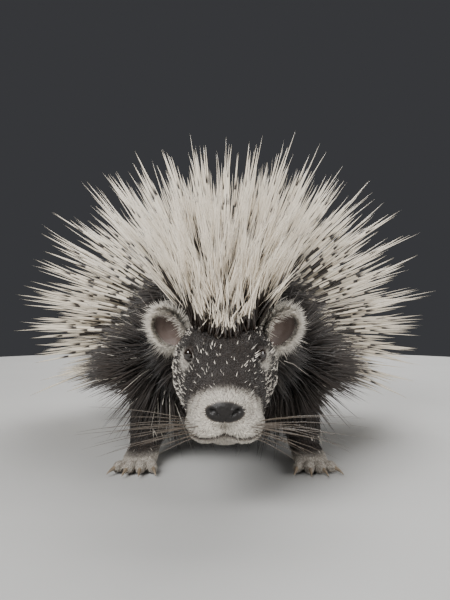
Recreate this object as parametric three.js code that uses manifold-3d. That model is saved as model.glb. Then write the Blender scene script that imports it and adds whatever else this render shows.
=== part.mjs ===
// An adult crested porcupine at life size, in millimetres, as a still museum model.
// It stands low on four feet with its head down, and its quills are raised in a fan.
// +Z is up, the animal looks along -Y and its left side is +X. The floor is at z = 0.

import * as THREE from "three";
import { mergeVertices } from "three/addons/utils/BufferGeometryUtils.js";
import Module from "manifold-3d";

const wasm = await Module();
wasm.setup();

// Driving sizes
const GAP = 0.3;
const HEAD_LENGTH = 176;
const HEAD_PITCH = 22;
const NOSE = new THREE.Vector3(0, -424, 98);
const EYE_RADIUS = 7;
const EAR_HEIGHT = 48;
const BACK_HEIGHT = 286;
const QUILL_LENGTH = 325;
const QUILL_GIRTH = 3.4;
const CREST_LENGTH = 205;
const ROOT_DEPTH = 26;
const NECK_CUT = -152;
const HEAD_CUT = 0.93;
const SEED = 41;

const degrees = THREE.MathUtils.degToRad;
const vector = (x, y, z) => new THREE.Vector3(x, y, z);
const blend = (a, b, t) => a + (b - a) * THREE.MathUtils.clamp(t, 0, 1);

// A seeded draw between 0 and 1, the same on every run.
let seed = SEED;
function draw() {
  seed = (seed + 0x6d2b79f5) | 0;
  let t = Math.imul(seed ^ (seed >>> 15), 1 | seed);
  t = (t + Math.imul(t ^ (t >>> 7), 61 | t)) ^ t;
  return ((t ^ (t >>> 14)) >>> 0) / 4294967296;
}
const spread = (width) => (draw() - 0.5) * 2 * width;

// A closed geometry as a solid that can be joined and cut.
function solidOf(geometry) {
  const bare = new THREE.BufferGeometry()
    .setAttribute("position", geometry.getAttribute("position"))
    .setIndex(geometry.index);
  const merged = mergeVertices(bare, 1e-4);
  const triVerts = new Uint32Array(merged.index.array);
  const vertProperties = new Float32Array(merged.attributes.position.array);
  const made = new wasm.Manifold(new wasm.Mesh({ numProp: 3, vertProperties, triVerts }));
  if (made.volume() > 0) return made;
  for (let i = 0; i < triVerts.length; i += 3)
    [triVerts[i + 1], triVerts[i + 2]] = [triVerts[i + 2], triVerts[i + 1]];
  return new wasm.Manifold(new wasm.Mesh({ numProp: 3, vertProperties, triVerts }));
}

// A closed skin over rings with the same number of points, with one point closing each end.
function skinOver(rings, first, last) {
  const sides = rings[0].length;
  const points = [first, ...rings.flat(), last];
  const index = [];
  const end = points.length - 1;
  const at = (ring, side) => 1 + ring * sides + (side % sides);
  for (let k = 0; k < sides; k++) {
    index.push(0, at(0, k + 1), at(0, k));
    index.push(end, at(rings.length - 1, k), at(rings.length - 1, k + 1));
    for (let r = 0; r + 1 < rings.length; r++) {
      index.push(at(r, k), at(r, k + 1), at(r + 1, k + 1));
      index.push(at(r, k), at(r + 1, k + 1), at(r + 1, k));
    }
  }
  const geometry = new THREE.BufferGeometry().setFromPoints(points);
  geometry.setIndex(index);
  return geometry;
}

// A rounded body part swept along a path. Each row is x, y, z, half width, height above
// the path and depth below it. The ends are rounded over the shares in caps.
function bodyForm(rows, caps, { rings = 10, sides = 16, square = 2 } = {}) {
  const path = new THREE.CatmullRomCurve3(rows.map((r) => vector(r[0], r[1], r[2])));
  const size = new THREE.CatmullRomCurve3(rows.map((r) => vector(r[3], r[4], r[5])));
  const across = vector(1, 0, 0);

  function frameAt(s) {
    const along = path.getTangent(s);
    const side = across.clone().addScaledVector(along, -across.dot(along)).normalize();
    return { centre: path.getPoint(s), along, side, up: side.clone().cross(along) };
  }

  // How full the section is: 1 along the part, falling to 0 at the two round ends.
  function fullness(s) {
    const near = Math.min(s / caps[0], (1 - s) / caps[1], 1);
    return Math.sqrt(Math.max(0, 1 - (1 - near) ** 2));
  }

  // The point of the skin at share s of the path and at an angle from the top,
  // positive towards +X, on a copy of the part that is larger by grow all round.
  function point(s, angle, grow = 0) {
    const { centre, along, side, up } = frameAt(s);
    const [width, above, below] = size.getPoint(s).toArray();
    const cos = Math.cos(angle);
    const sin = Math.sin(angle);
    const lift = (cos > 0 ? above : below) + grow;
    const full = fullness(s);
    const rounded = (value) => Math.sign(value) * Math.abs(value) ** (2 / square);
    const nearStart = Math.max(0, 1 - s / caps[0]);
    const nearEnd = Math.max(0, 1 - (1 - s) / caps[1]);
    return centre
      .addScaledVector(side, rounded(sin) * (width + grow) * full)
      .addScaledVector(up, rounded(cos) * lift * full)
      .addScaledVector(along, grow * (nearEnd - nearStart));
  }

  function normal(s, angle) {
    const step = 0.01;
    const from = THREE.MathUtils.clamp(s, step, 1 - step);
    const alongSkin = point(from + step, angle).sub(point(from - step, angle));
    const roundSkin = point(from, angle + step).sub(point(from, angle - step));
    return alongSkin.cross(roundSkin).normalize().negate();
  }

  function ringShares() {
    const shares = [];
    const capRings = 3;
    for (let k = 1; k <= capRings; k++)
      shares.push(caps[0] * (1 - Math.cos((k / capRings) * (Math.PI / 2))));
    const middle = rings - 2 * capRings;
    for (let k = 1; k <= middle; k++)
      shares.push(blend(caps[0], 1 - caps[1], k / (middle + 1)));
    for (let k = capRings; k >= 1; k--)
      shares.push(1 - caps[1] * (1 - Math.cos((k / capRings) * (Math.PI / 2))));
    return shares;
  }

  function solid(grow = 0) {
    const ringAt = (s) =>
      Array.from({ length: sides }, (_, k) => point(s, (k / sides) * 2 * Math.PI, grow));
    return solidOf(skinOver(ringShares().map(ringAt), point(0, 0, grow), point(1, 0, grow)));
  }

  return { point, normal, solid, frameAt };
}

// An egg-shaped solid. Its radii run along facing, across it and along rise.
function egg(centre, radii, facing = vector(0, -1, 0), rise = vector(0, 0, 1), detail = [9, 6]) {
  const up = rise.clone().normalize();
  const front = facing.clone().addScaledVector(up, -facing.dot(up)).normalize();
  const across = front.clone().cross(up);
  const place = new THREE.Matrix4().makeBasis(
    front.multiplyScalar(radii[0]),
    up.multiplyScalar(radii[2]),
    across.multiplyScalar(-radii[1]),
  );
  place.setPosition(centre);
  return solidOf(new THREE.SphereGeometry(1, ...detail).applyMatrix4(place));
}
const ball = (centre, radius) => egg(centre, [radius, radius, radius]);

const joined = (pieces) => wasm.Manifold.union(pieces);

// The largest closed surface of a solid, without loose scraps or sealed hollows.
function largestOf(solid) {
  return solid.decompose().reduce((a, b) => (b.volume() > a.volume() ? b : a));
}

const mirrored = (rows, side) => rows.map(([x, ...rest]) => [x * side, ...rest]);

// Flesh: trunk, neck and tail, from front to back
const torsoForm = bodyForm(
  [
    [0, -205, 170, 62, 60, 62],
    [0, -115, 171, 92, 86, 84],
    [0, -25, 173, 112, 102, 98],
    [0, 65, 175, 124, BACK_HEIGHT - 175, 105],
    [0, 155, 173, 126, BACK_HEIGHT - 176, 104],
    [0, 245, 167, 112, 98, 92],
    [0, 335, 158, 82, 72, 68],
  ],
  [0.15, 0.22],
  { rings: 12, sides: 20, square: 2.15 },
);
const neckForm = bodyForm(
  [
    [0, -296, 150, 44, 42, 46],
    [0, -238, 159, 56, 54, 56],
    [0, -180, 167, 68, 66, 66],
    [0, -120, 171, 78, 74, 74],
  ],
  [0.2, 0.2],
  { rings: 8, sides: 18 },
);
const tailForm = bodyForm(
  [
    [0, 300, 138, 34, 32, 30],
    [0, 344, 128, 28, 25, 24],
    [0, 384, 116, 21, 18, 18],
    [0, 418, 104, 14, 12, 12],
  ],
  [0.2, 0.3],
  { rings: 8, sides: 12 },
);

// Flesh: the head, from the blunt nose to the back of the skull
const headwards = vector(0, -Math.cos(degrees(HEAD_PITCH)), -Math.sin(degrees(HEAD_PITCH)));
const headUp = vector(0, headwards.z, -headwards.y);

// A point of the head by its distances behind the nose, to the left and above the axis.
function onHead(back, left, up) {
  return vector(left, 0, 0).addScaledVector(headwards, -back).addScaledVector(headUp, up).add(NOSE);
}
const HEAD_SECTIONS = [
  [36, 40, 34],
  [41, 50, 40],
  [47, 58, 46],
  [55, 63, 52],
  [61, 62, 56],
  [58, 55, 58],
  [45, 44, 49],
];
const headForm = bodyForm(
  HEAD_SECTIONS.map((section, i) => {
    const share = i / (HEAD_SECTIONS.length - 1);
    return [...onHead(HEAD_LENGTH * share, 0, 0).toArray(), ...section];
  }),
  [0.15, 0.2],
  { rings: 12, sides: 20, square: 2.2 },
);
const EYE_SHARE = 0.44;
const EYE_ANGLE = 50;
const EAR_SHARE = 0.8;
const EAR_ANGLE = 62;

// The point a depth under the head's skin, at a share of its length and an angle from the top.
function underHead(share, angle, depth) {
  const turn = degrees(angle);
  return headForm.point(share, turn).addScaledVector(headForm.normal(share, turn), -depth);
}

const eyeAt = (side) => underHead(EYE_SHARE, EYE_ANGLE * side, EYE_RADIUS * 0.5);

// The eye looks out from the skin and a little more forwards than the skin faces there.
const eyeLook = (side) =>
  headForm.normal(EYE_SHARE, degrees(EYE_ANGLE * side)).addScaledVector(headwards, 0.35).normalize();

// A ring of lid round each eye, with the upper half heavier and drawn down to the nose.
function lids(side) {
  const out = eyeLook(side);
  const centre = eyeAt(side).addScaledVector(out, EYE_RADIUS * 0.42);
  const towardsNose = vector(0, -1, 0).addScaledVector(out, out.y).normalize();
  const upper = out.clone().cross(towardsNose).multiplyScalar(side).normalize();
  const count = 10;
  const rings = [];
  for (let k = 0; k < count; k++) {
    const turn = (k / count) * 2 * Math.PI;
    const spoke = towardsNose.clone().multiplyScalar(Math.cos(turn) * 1.25);
    spoke.addScaledVector(upper, Math.sin(turn) * 0.92);
    const thick = Math.sin(turn) > 0 ? 2.6 : 1.9;
    const middle = centre.clone().addScaledVector(spoke, EYE_RADIUS);
    const outwards = spoke.clone().normalize();
    rings.push(
      [0, 1, 2].map((q) => {
        const around = (q / 3) * 2 * Math.PI;
        return middle
          .clone()
          .addScaledVector(outwards, Math.cos(around) * thick)
          .addScaledVector(out, Math.sin(around) * thick - 0.6);
      }),
    );
  }
  return solidOf(ringBand(rings));
}

// A closed band over rings that follow one another round a loop.
function ringBand(rings) {
  const sides = rings[0].length;
  const index = [];
  const at = (ring, side) => (ring % rings.length) * sides + (side % sides);
  rings.forEach((_, r) => {
    for (let k = 0; k < sides; k++) {
      index.push(at(r, k), at(r, k + 1), at(r + 1, k + 1));
      index.push(at(r, k), at(r + 1, k + 1), at(r + 1, k));
    }
  });
  const geometry = new THREE.BufferGeometry().setFromPoints(rings.flat());
  geometry.setIndex(index);
  return geometry;
}

// The mouth line: a thin slot round the front of the muzzle, rising towards the cheeks.
function mouthLine() {
  const [halfWidth, depth] = [35, 38];
  const half = 4;
  const rings = [];
  for (let k = -half; k <= half; k++) {
    const turn = (k / half) * degrees(80);
    const back = 3 + depth * (1 - Math.cos(turn));
    const out = vector(Math.sin(turn) / halfWidth, 0, 0);
    out.addScaledVector(headwards, Math.cos(turn) / depth).normalize();
    const middle = onHead(back, Math.sin(turn) * halfWidth, back * 0.16 - 15);
    const corner = (reach, lift) =>
      middle.clone().addScaledVector(out, reach).addScaledVector(headUp, lift);
    rings.push([corner(24, 1.7), corner(24, -1.7), corner(-5, -0.5), corner(-5, 0.5)]);
  }
  const middleOf = (ring) =>
    ring.reduce((sum, p) => sum.add(p), vector(0, 0, 0)).divideScalar(ring.length);
  return solidOf(skinOver(rings, middleOf(rings[0]), middleOf(rings[rings.length - 1])));
}

// The head's flesh with lip pads, chin, brows, nose, lids, nostrils and mouth line.
function headFlesh() {
  const pieces = [
    headForm.solid(),
    egg(onHead(27, 0, -28), [24, 23, 13], headwards, headUp),
    egg(onHead(4, 0, 15), [10, 24, 15], headwards, headUp),
  ];
  const cuts = [mouthLine()];
  for (const side of [1, -1]) {
    const browShare = EYE_SHARE + 0.02;
    const browOut = headForm.normal(browShare, degrees(33 * side));
    const browWay = headwards.clone().addScaledVector(vector(side, 0, 0), -0.3).normalize();
    pieces.push(
      egg(onHead(15, side * 19, -9), [22, 22, 20], headwards, headUp),
      egg(underHead(browShare, 33 * side, 6), [23, 12, 9.5], browWay, browOut, [8, 5]),
      lids(side),
    );
    const flare = vector(side, 0, 0).addScaledVector(headUp, 2);
    cuts.push(
      egg(onHead(-7, side * 11, 17), [7, 4.8, 3], headwards, flare, [6, 4]),
      ball(eyeAt(side), EYE_RADIUS + GAP),
    );
  }
  return wasm.Manifold.difference([joined(pieces), ...cuts]);
}

// Ears: a short round cup that faces outwards and forwards
function earSolid(side) {
  const rise = vector(side * 0.72, 0.16, 0.68).normalize();
  const facing = vector(side * 0.5, -0.86, -0.1).normalize();
  const base = underHead(EAR_SHARE, EAR_ANGLE * side, 0);
  const half = EAR_HEIGHT / 2;
  const centre = base.clone().addScaledVector(rise, half * 0.72);
  const hollow = centre.clone().addScaledVector(facing, half * 0.25).addScaledVector(rise, 1.5);
  const shell = egg(centre, [half * 0.42, half * 0.8, half], facing, rise, [10, 7]);
  const cup = egg(hollow, [half * 0.44, half * 0.66, half * 0.84], facing, rise, [8, 6]);
  const root = egg(base, [8, 10, 12], facing, rise, [6, 5]);
  return largestOf(joined([shell, root]).subtract(joined([cup, headForm.solid(GAP)])));
}

// Legs: each is a limb, a flat-soled foot and its toes with a claw on each
const FORE = {
  limb: [
    [66, -112, 156, 42, 50, 48],
    [90, -134, 110, 37, 42, 40],
    [106, -170, 60, 27, 30, 28],
    [111, -204, 8, 22, 21, 20],
  ],
  foot: [
    [114, -250, 12, 23, 9, 13],
    [113, -228, 13, 24, 14, 15],
    [111, -204, 15, 22, 19, 17],
    [108, -180, 14, 18, 14, 15],
  ],
  toes: 4,
  toeFan: 50,
  toeLength: 24,
  toeWidth: 7,
  clawLength: 17,
  turnOut: 7,
};
const HIND = {
  limb: [
    [72, 186, 150, 48, 64, 60],
    [100, 178, 108, 46, 56, 52],
    [113, 206, 58, 30, 34, 32],
    [109, 236, 10, 22, 21, 20],
  ],
  foot: [
    [117, 150, 12, 23, 9, 13],
    [115, 177, 13, 23, 13, 15],
    [111, 212, 15, 21, 16, 17],
    [108, 248, 14, 18, 14, 15],
  ],
  toes: 5,
  toeFan: 58,
  toeLength: 21,
  toeWidth: 6.2,
  clawLength: 14,
  turnOut: 9,
};

// One claw: a three-sided horn that leaves the toe level and bends down to its tip.
function claw(root, heading, length) {
  const side = vector(-heading.y, heading.x, 0).normalize();
  const up = vector(0, 0, 1);
  const section = (share, size, drop) => {
    const centre = root.clone().addScaledVector(heading, length * share).addScaledVector(up, -drop);
    return [
      centre.clone().addScaledVector(up, size),
      centre.clone().addScaledVector(side, size * 0.8).addScaledVector(up, -size * 0.6),
      centre.clone().addScaledVector(side, -size * 0.8).addScaledVector(up, -size * 0.6),
    ];
  };
  const tip = root.clone().addScaledVector(heading, length).addScaledVector(up, -4.6);
  const rings = [section(-0.4, 3.4, 0), section(0.1, 3.2, 0), section(0.6, 2.2, 1.4)];
  return solidOf(skinOver(rings, root.clone().addScaledVector(heading, -length * 0.5), tip));
}

const limbForm = (leg, side) =>
  bodyForm(mirrored(leg.limb, side), [0.2, 0.12], { rings: 7, sides: 10 });

function legSolid(leg, side) {
  const foot = bodyForm(mirrored(leg.foot, side), [0.2, 0.25], { rings: 7, sides: 10 });
  const pieces = [limbForm(leg, side).solid(), foot.solid()];
  const [frontX, frontY] = leg.foot[0];
  for (let k = 0; k < leg.toes; k++) {
    const share = k / (leg.toes - 1) - 0.5;
    const turn = degrees(share * leg.toeFan + leg.turnOut) * side;
    const heading = vector(Math.sin(turn), -Math.cos(turn), 0);
    const spot = vector(side * frontX + share * leg.toeWidth * 4.6 * side, frontY + 2, 8.4);
    spot.y += Math.abs(share) * 12;
    const end = spot.clone().addScaledVector(heading, leg.toeLength - 8);
    const middle = spot.clone().lerp(end, 0.5);
    const half = (leg.toeLength + 8) / 2;
    pieces.push(
      egg(middle, [half, leg.toeWidth, 8.2], heading, undefined, [6, 5]),
      claw(end.clone().addScaledVector(heading, 3), heading, leg.clawLength),
    );
  }
  const reach = 400;
  const underFloor = solidOf(
    new THREE.BoxGeometry(2 * reach, 2 * reach, 50).translate(0, 0, -25),
  );
  const cuts = [underFloor, torsoForm.solid(GAP), neckForm.solid(GAP)];
  return largestOf(joined(pieces).subtract(joined(cuts)));
}

// The raised quills of the back, in rows from the shoulders to the rump.
// along runs from 0 at the shoulders to 1 at the rump, and across from -1 to 1 over the back.
const QUILL_FROM = 0.22;
const QUILL_TO = 0.93;

function quillAt(along, across) {
  const share = blend(QUILL_FROM, QUILL_TO, along);
  const overLegs = THREE.MathUtils.smoothstep(along, 0.4, 0.62);
  const overShoulder = 1 - THREE.MathUtils.smoothstep(along, 0.0, 0.16);
  const widest = degrees(114 - 28 * overLegs - 32 * overShoulder);
  const angle = across * widest;
  const root = torsoForm.point(share, angle);
  const lean = degrees(blend(8, 66, along ** 1.3) + 4 * Math.abs(across));
  const direction = vector(
    Math.sin(angle) * Math.cos(lean),
    Math.sin(lean),
    Math.cos(angle) * Math.cos(lean),
  );
  const byPlace = Math.sin(blend(0.16, 0.86, along ** 0.8) * Math.PI) ** 0.8;
  const low = THREE.MathUtils.smoothstep(Math.abs(across), 0.72, 1);
  const sides = 0.91 + 0.09 * Math.sin(Math.abs(across) * Math.PI * 0.7);
  const length = QUILL_LENGTH * byPlace * (sides - 0.08 * low);
  return { root, direction, length };
}

// The crest of long bristles from the brow over the nape to the shoulders. It is narrow at
// the brow and widens backwards.
function crestAt(form, shares, lengths, lean, width) {
  return (along, across) => {
    const angle = across * degrees(blend(...width, along));
    const root = form.point(blend(...shares, along), angle);
    const tilt = degrees(blend(...lean, along));
    const fan = angle * 0.85;
    const direction = vector(
      Math.sin(fan) * Math.cos(tilt),
      Math.sin(tilt),
      Math.cos(fan) * Math.cos(tilt),
    );
    return { root, direction, length: CREST_LENGTH * blend(...lengths, along) };
  };
}
const headCrest = crestAt(headForm, [0.58, 0.86], [0.38, 0.72], [-22, -12], [12, 41]);
const neckCrest = crestAt(neckForm, [0.24, 0.72], [0.76, 0.96], [-10, 0], [42, 46]);
const napeCrest = crestAt(torsoForm, [0.14, 0.24], [1, 1], [2, 8], [46, 48]);

// The tail's short white quills, round its sides and end.
function tailQuillAt(along, across) {
  const share = blend(0.45, 0.9, along);
  const angle = across * degrees(125);
  const root = tailForm.point(share, angle);
  const open = degrees(blend(50, 16, along));
  const direction = vector(
    Math.sin(angle) * Math.sin(open),
    Math.cos(open),
    Math.cos(angle) * Math.sin(open),
  );
  return { root, direction: direction.normalize(), length: blend(70, 95, along) };
}

// A ring of corners round a spot: each corner is a distance along two directions.
const ringAt = (spot, across, other, corners) =>
  corners.map(([a, b]) => spot.clone().addScaledVector(across, a).addScaledVector(other, b));

// A quill: a slim four-sided spindle, thickest at a third of its length.
function quill({ root, direction, length }, girth, clearance = 0) {
  const across = direction.clone().cross(vector(0.3, 1, 0.2)).normalize();
  const other = direction.clone().cross(across);
  const at = (reach) => root.clone().addScaledVector(direction, reach);
  const size = girth + clearance;
  const corners = [[size, 0], [0, size], [-size, 0], [0, -size]];
  const belly = ringAt(at(length * 0.34), across, other, corners);
  return solidOf(skinOver([belly], at(-ROOT_DEPTH - clearance), at(length + 4 * clearance)));
}

// A crest lock: stiff bristles lying together in a flat three-sided blade that bends back.
function crestLock({ root, direction, length }, girth, clearance = 0) {
  const across = vector(1, 0, 0).addScaledVector(direction, -direction.x).normalize();
  const back = direction.clone().cross(across);
  if (back.y < 0) back.negate();
  const at = (share) =>
    root
      .clone()
      .addScaledVector(direction, length * share)
      .addScaledVector(back, length * 0.22 * Math.max(share, 0) ** 2);
  const ring = (share, half) => {
    const wide = half + clearance;
    const thick = half * 0.3 + clearance;
    return ringAt(at(share), across, back, [[wide, -thick], [0, thick * 1.6], [-wide, -thick]]);
  };
  const rings = [ring(0.3, girth), ring(0.66, girth * 0.72)];
  return solidOf(skinOver(rings, at(-ROOT_DEPTH / length), at(1 + (4 * clearance) / length)));
}

// A coat lock: a flat blade that leaves the skin at a slope, bends over along its lie and
// tapers to a point. out is the skin's normal and lie runs along the skin.
function coatLock({ root, out, lie, length, width, slope }, clearance = 0) {
  const across = out.clone().cross(lie).normalize();
  const at = (share, height) =>
    root.clone().addScaledVector(lie, length * share).addScaledVector(out, length * height);
  const ring = (share, height, half) => {
    const wide = half + clearance;
    const ridge = 1 + half * 0.14 + clearance;
    const corners = [[wide, -clearance], [0, ridge], [-wide, -clearance]];
    return ringAt(at(share, height), across, out, corners);
  };
  const rings = [
    ring(0.3, 0.08 + slope * 0.4, width * 0.5),
    ring(0.68, 0.08 + slope * 0.85, width * 0.36),
  ];
  const tip = at(1, 0.06 + slope).addScaledVector(lie, 4 * clearance);
  return solidOf(skinOver(rings, at(-0.22, -0.2), tip));
}

// The flesh of every node. The trunk, neck and head are one body, parted by two thin cuts.
function slab(at, turn) {
  const size = 500;
  const box = new THREE.BoxGeometry(size, GAP, size).rotateX(degrees(turn));
  return solidOf(box.translate(...at));
}
const neckCut = slab([0, NECK_CUT, 170], -8);
const headCut = slab(headForm.frameAt(HEAD_CUT).centre.toArray(), HEAD_PITCH);
const [headPart, neckPart, torsoPart] = joined([torsoForm.solid(), neckForm.solid(), headFlesh()])
  .subtract(neckCut)
  .subtract(headCut)
  .decompose()
  .sort((a, b) => a.boundingBox().min[1] - b.boundingBox().min[1]);

const flesh = new Map([
  ["torso", torsoPart],
  ["neck", neckPart],
  ["head", headPart],
  ["tail", largestOf(tailForm.solid().subtract(torsoForm.solid(GAP)))],
]);
const SIDES = [["left", 1], ["right", -1]];
for (const [name, side] of SIDES) {
  flesh.set("ear_" + name, earSolid(side));
  flesh.set("eye_" + name, ball(eyeAt(side), EYE_RADIUS));
  flesh.set("foreleg_" + name, legSolid(FORE, side));
  flesh.set("hindleg_" + name, legSolid(HIND, side));
}

// What grows from the nodes. A piece is kept where it stays clear of every other node, and
// is raised a little at a time until it does.
const placed = [...flesh].map(([node, solid]) => ({ node, solid, box: solid.boundingBox() }));
const apart = (a, b) => [0, 1, 2].some((k) => a.min[k] > b.max[k] || b.min[k] > a.max[k]);

function isClear(node, solid) {
  const box = solid.boundingBox();
  if (box.min[2] < GAP) return false;
  return placed.every(
    (other) =>
      other.node === node || apart(box, other.box) || solid.intersect(other.solid).isEmpty(),
  );
}

function grow(node, make, tries = 7) {
  for (let k = 0; k < tries; k++) {
    if (!isClear(node, make(k, GAP))) continue;
    const solid = make(k, 0);
    placed.push({ node, solid, box: solid.boundingBox() });
    return;
  }
}

// Rows of places, staggered, with a small draw. along and across run from 0 to 1.
function scatter(rows, columnsAt, visit) {
  for (let r = 0; r < rows; r++) {
    const columns = columnsAt(r / (rows - 1 || 1));
    for (let c = 0; c < columns; c++) {
      const along = (r + spread(0.2)) / (rows - 1 || 1);
      const across = (c + 0.3 + (r % 2) * 0.4 + spread(0.12)) / columns;
      visit(THREE.MathUtils.clamp(along, 0, 1), THREE.MathUtils.clamp(across, 0, 1));
    }
  }
}

// A field of spines, the same on both sides of the back.
function growSpines(node, field, form, girth, rows, columnsAt) {
  scatter(rows, columnsAt, (along, across) => {
    const turn = [spread(0.05), spread(0.05), spread(0.04)];
    const cut = 0.07 * draw();
    for (const [, side] of SIDES) {
      const spine = field(along, across * side);
      const make = (k, clearance) => {
        const direction = spine.direction.clone().add(vector(turn[0] * side, turn[1], turn[2]));
        direction.add(vector(0, 0.05 * k, 0.09 * k)).normalize();
        const length = spine.length * (1 - cut - 0.03 * k);
        return form({ ...spine, direction, length }, girth, clearance);
      };
      grow(node, make);
    }
  });
}

const perRow = (from, to = from) => (along) => Math.round(blend(from, to, along));
growSpines("head", headCrest, crestLock, 4.2, 4, perRow(3));
growSpines("neck", neckCrest, crestLock, 4.8, 4, perRow(4));
growSpines("torso", napeCrest, crestLock, 5, 2, perRow(5));
growSpines("torso", quillAt, quill, QUILL_GIRTH, 12, (along) =>
  Math.round(7.4 + 4 * Math.sin(Math.PI * blend(0.1, 0.85, along))),
);
growSpines("tail", tailQuillAt, quill, 2.2, 4, perRow(4));

// The coat: locks on a form between two shares of its length and two angles from the top.
// Each is drawn once and grown on both sides of the animal.
function growLocks(nodeOf, formOf, shares, angles, rows, columns, coat) {
  scatter(rows, perRow(columns), (along, across) => {
    const share = blend(...shares, along);
    const size = 1 - 0.16 * draw();
    const stray = [spread(0.1), spread(0.1)];
    for (const [name, side] of SIDES) {
      const form = formOf(side);
      const angle = degrees(blend(...angles, across)) * side;
      const out = form.normal(share, angle);
      const lie = form.frameAt(share).along.clone();
      lie.add(vector((coat.splay + stray[0]) * side, 0, stray[1] - coat.droop));
      lie.addScaledVector(out, -lie.dot(out)).normalize();
      const root = form.point(share, angle);
      const length = coat.length * size;
      const make = (k, clearance) =>
        coatLock({ ...coat, root, out, lie, length, slope: coat.slope + 0.06 * k }, clearance);
      grow(nodeOf(name), make);
    }
  });
}
const cheek = { length: 44, width: 17, slope: 0.2, droop: 0.35, splay: 0.1 };
const ruff = { length: 84, width: 22, slope: 0.36, droop: 0.4, splay: 0.2 };
const shoulder = { length: 96, width: 25, slope: 0.4, droop: 0.45, splay: 0.25 };
const flank = { length: 70, width: 24, slope: 0.18, droop: 0.5, splay: 0.1 };
const limbCoat = { length: 46, width: 19, slope: 0.14, droop: 0.2, splay: 0 };
const limb = (leg) => (side) => limbForm(leg, side);
growLocks(() => "head", () => headForm, [0.6, 0.88], [84, 165], 3, 4, cheek);
growLocks(() => "neck", () => neckForm, [0.3, 0.76], [54, 148], 4, 5, ruff);
growLocks(() => "torso", () => torsoForm, [0.13, 0.3], [58, 150], 3, 4, shoulder);
growLocks(() => "torso", () => torsoForm, [0.38, 0.92], [122, 156], 5, 2, flank);
growLocks((name) => "foreleg_" + name, limb(FORE), [0.3, 0.62], [40, 190], 2, 4, limbCoat);
growLocks((name) => "hindleg_" + name, limb(HIND), [0.3, 0.6], [20, 190], 2, 5, limbCoat);

const grownOn = (node) => placed.filter((piece) => piece.node === node).map((p) => p.solid);

// The nodes
const material = (color, roughness) =>
  new THREE.MeshStandardMaterial({ color, roughness, metalness: 0 });
const bristleCoat = material(0x2b211b, 0.75);
const quillCoat = material(0xb9ab94, 0.5);
const earSkin = material(0x4a3a33, 0.7);
const eyeGloss = material(0x0a0807, 0.1);
const coatOf = (node) => {
  if (node.startsWith("ear")) return earSkin;
  if (node.startsWith("eye")) return eyeGloss;
  return node === "torso" || node === "tail" ? quillCoat : bristleCoat;
};

const porcupine = new THREE.Group();
for (const node of flesh.keys()) {
  const whole = largestOf(joined(grownOn(node)));
  const { vertProperties, triVerts } = whole.getMesh();
  const geometry = new THREE.BufferGeometry()
    .setAttribute("position", new THREE.BufferAttribute(vertProperties, 3))
    .setIndex(new THREE.BufferAttribute(triVerts, 1));
  const mesh = new THREE.Mesh(geometry, coatOf(node));
  mesh.name = node;
  porcupine.add(mesh);
}

// The origin is on the floor, under the middle of the animal's box.
const box = new THREE.Box3().setFromObject(porcupine);
const middle = box.getCenter(vector(0, 0, 0));
porcupine.position.set(-middle.x, -middle.y, -box.min.z);

export default porcupine;
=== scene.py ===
# %% [markdown]
# A crested porcupine at life size, standing low with its head down and its quills raised
# in a fan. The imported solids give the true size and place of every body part. This script
# dresses them: one soft skin under a coat of bristles, banded quills, a crest, eyes, ears,
# claws and whiskers. First the frame is loaded and its size is kept.

# %% Load the frame
import math

import bmesh
import bpy
import numpy as np
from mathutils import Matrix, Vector


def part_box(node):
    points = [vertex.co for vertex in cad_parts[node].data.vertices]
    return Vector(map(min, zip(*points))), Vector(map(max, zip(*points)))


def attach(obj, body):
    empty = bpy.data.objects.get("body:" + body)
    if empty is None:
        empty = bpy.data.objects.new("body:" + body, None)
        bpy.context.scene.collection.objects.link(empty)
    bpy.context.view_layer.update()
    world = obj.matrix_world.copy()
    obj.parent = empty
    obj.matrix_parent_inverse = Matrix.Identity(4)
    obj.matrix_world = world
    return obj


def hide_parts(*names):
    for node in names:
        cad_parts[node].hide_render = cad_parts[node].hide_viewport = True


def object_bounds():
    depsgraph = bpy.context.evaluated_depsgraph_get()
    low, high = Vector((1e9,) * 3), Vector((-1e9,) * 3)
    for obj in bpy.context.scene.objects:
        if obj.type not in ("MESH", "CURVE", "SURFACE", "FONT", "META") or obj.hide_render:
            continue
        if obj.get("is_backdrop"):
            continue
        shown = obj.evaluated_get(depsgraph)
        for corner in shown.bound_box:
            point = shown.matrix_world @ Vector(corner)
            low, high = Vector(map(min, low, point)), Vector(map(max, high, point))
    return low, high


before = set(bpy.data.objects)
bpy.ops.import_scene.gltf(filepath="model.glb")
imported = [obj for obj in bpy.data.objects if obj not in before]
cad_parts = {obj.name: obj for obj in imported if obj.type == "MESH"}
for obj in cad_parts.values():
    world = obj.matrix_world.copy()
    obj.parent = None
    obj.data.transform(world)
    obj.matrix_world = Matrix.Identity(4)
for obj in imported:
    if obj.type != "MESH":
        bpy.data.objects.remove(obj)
cad_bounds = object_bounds()
MM = 0.001
print("solids reach", [[round(v, 3) for v in corner] for corner in cad_bounds])

# %% [markdown]
# The picture looks at the animal head-on, from about the height of its brow. The camera is
# worked out from two things in the picture: how wide the fan of quills is, and how low the
# soles of the forefeet are. The front rows of quills make the fan's outline. They reach
# a tenth less far to the sides than the longest rows, which stand further back.

# %% Camera
IMAGE_HEIGHT = 600
SENSOR_MM = 36
FOCAL_PX = 615
FAN_PX = 410
FAN_SHARE = 0.91
SOLE_PX = 473
FAN_PLANE_Y = 0.02
SOLE_BEHIND_CLAWS = 0.03

low, high = (np.array(corner) for corner in cad_bounds)
toes_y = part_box("foreleg_left")[0][1]
fan_width = FAN_SHARE * (high[0] - low[0])
camera_y = FAN_PLANE_Y - FOCAL_PX * fan_width / FAN_PX
camera_z = (SOLE_PX - IMAGE_HEIGHT / 2) / FOCAL_PX * (toes_y + SOLE_BEHIND_CLAWS - camera_y)

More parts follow.
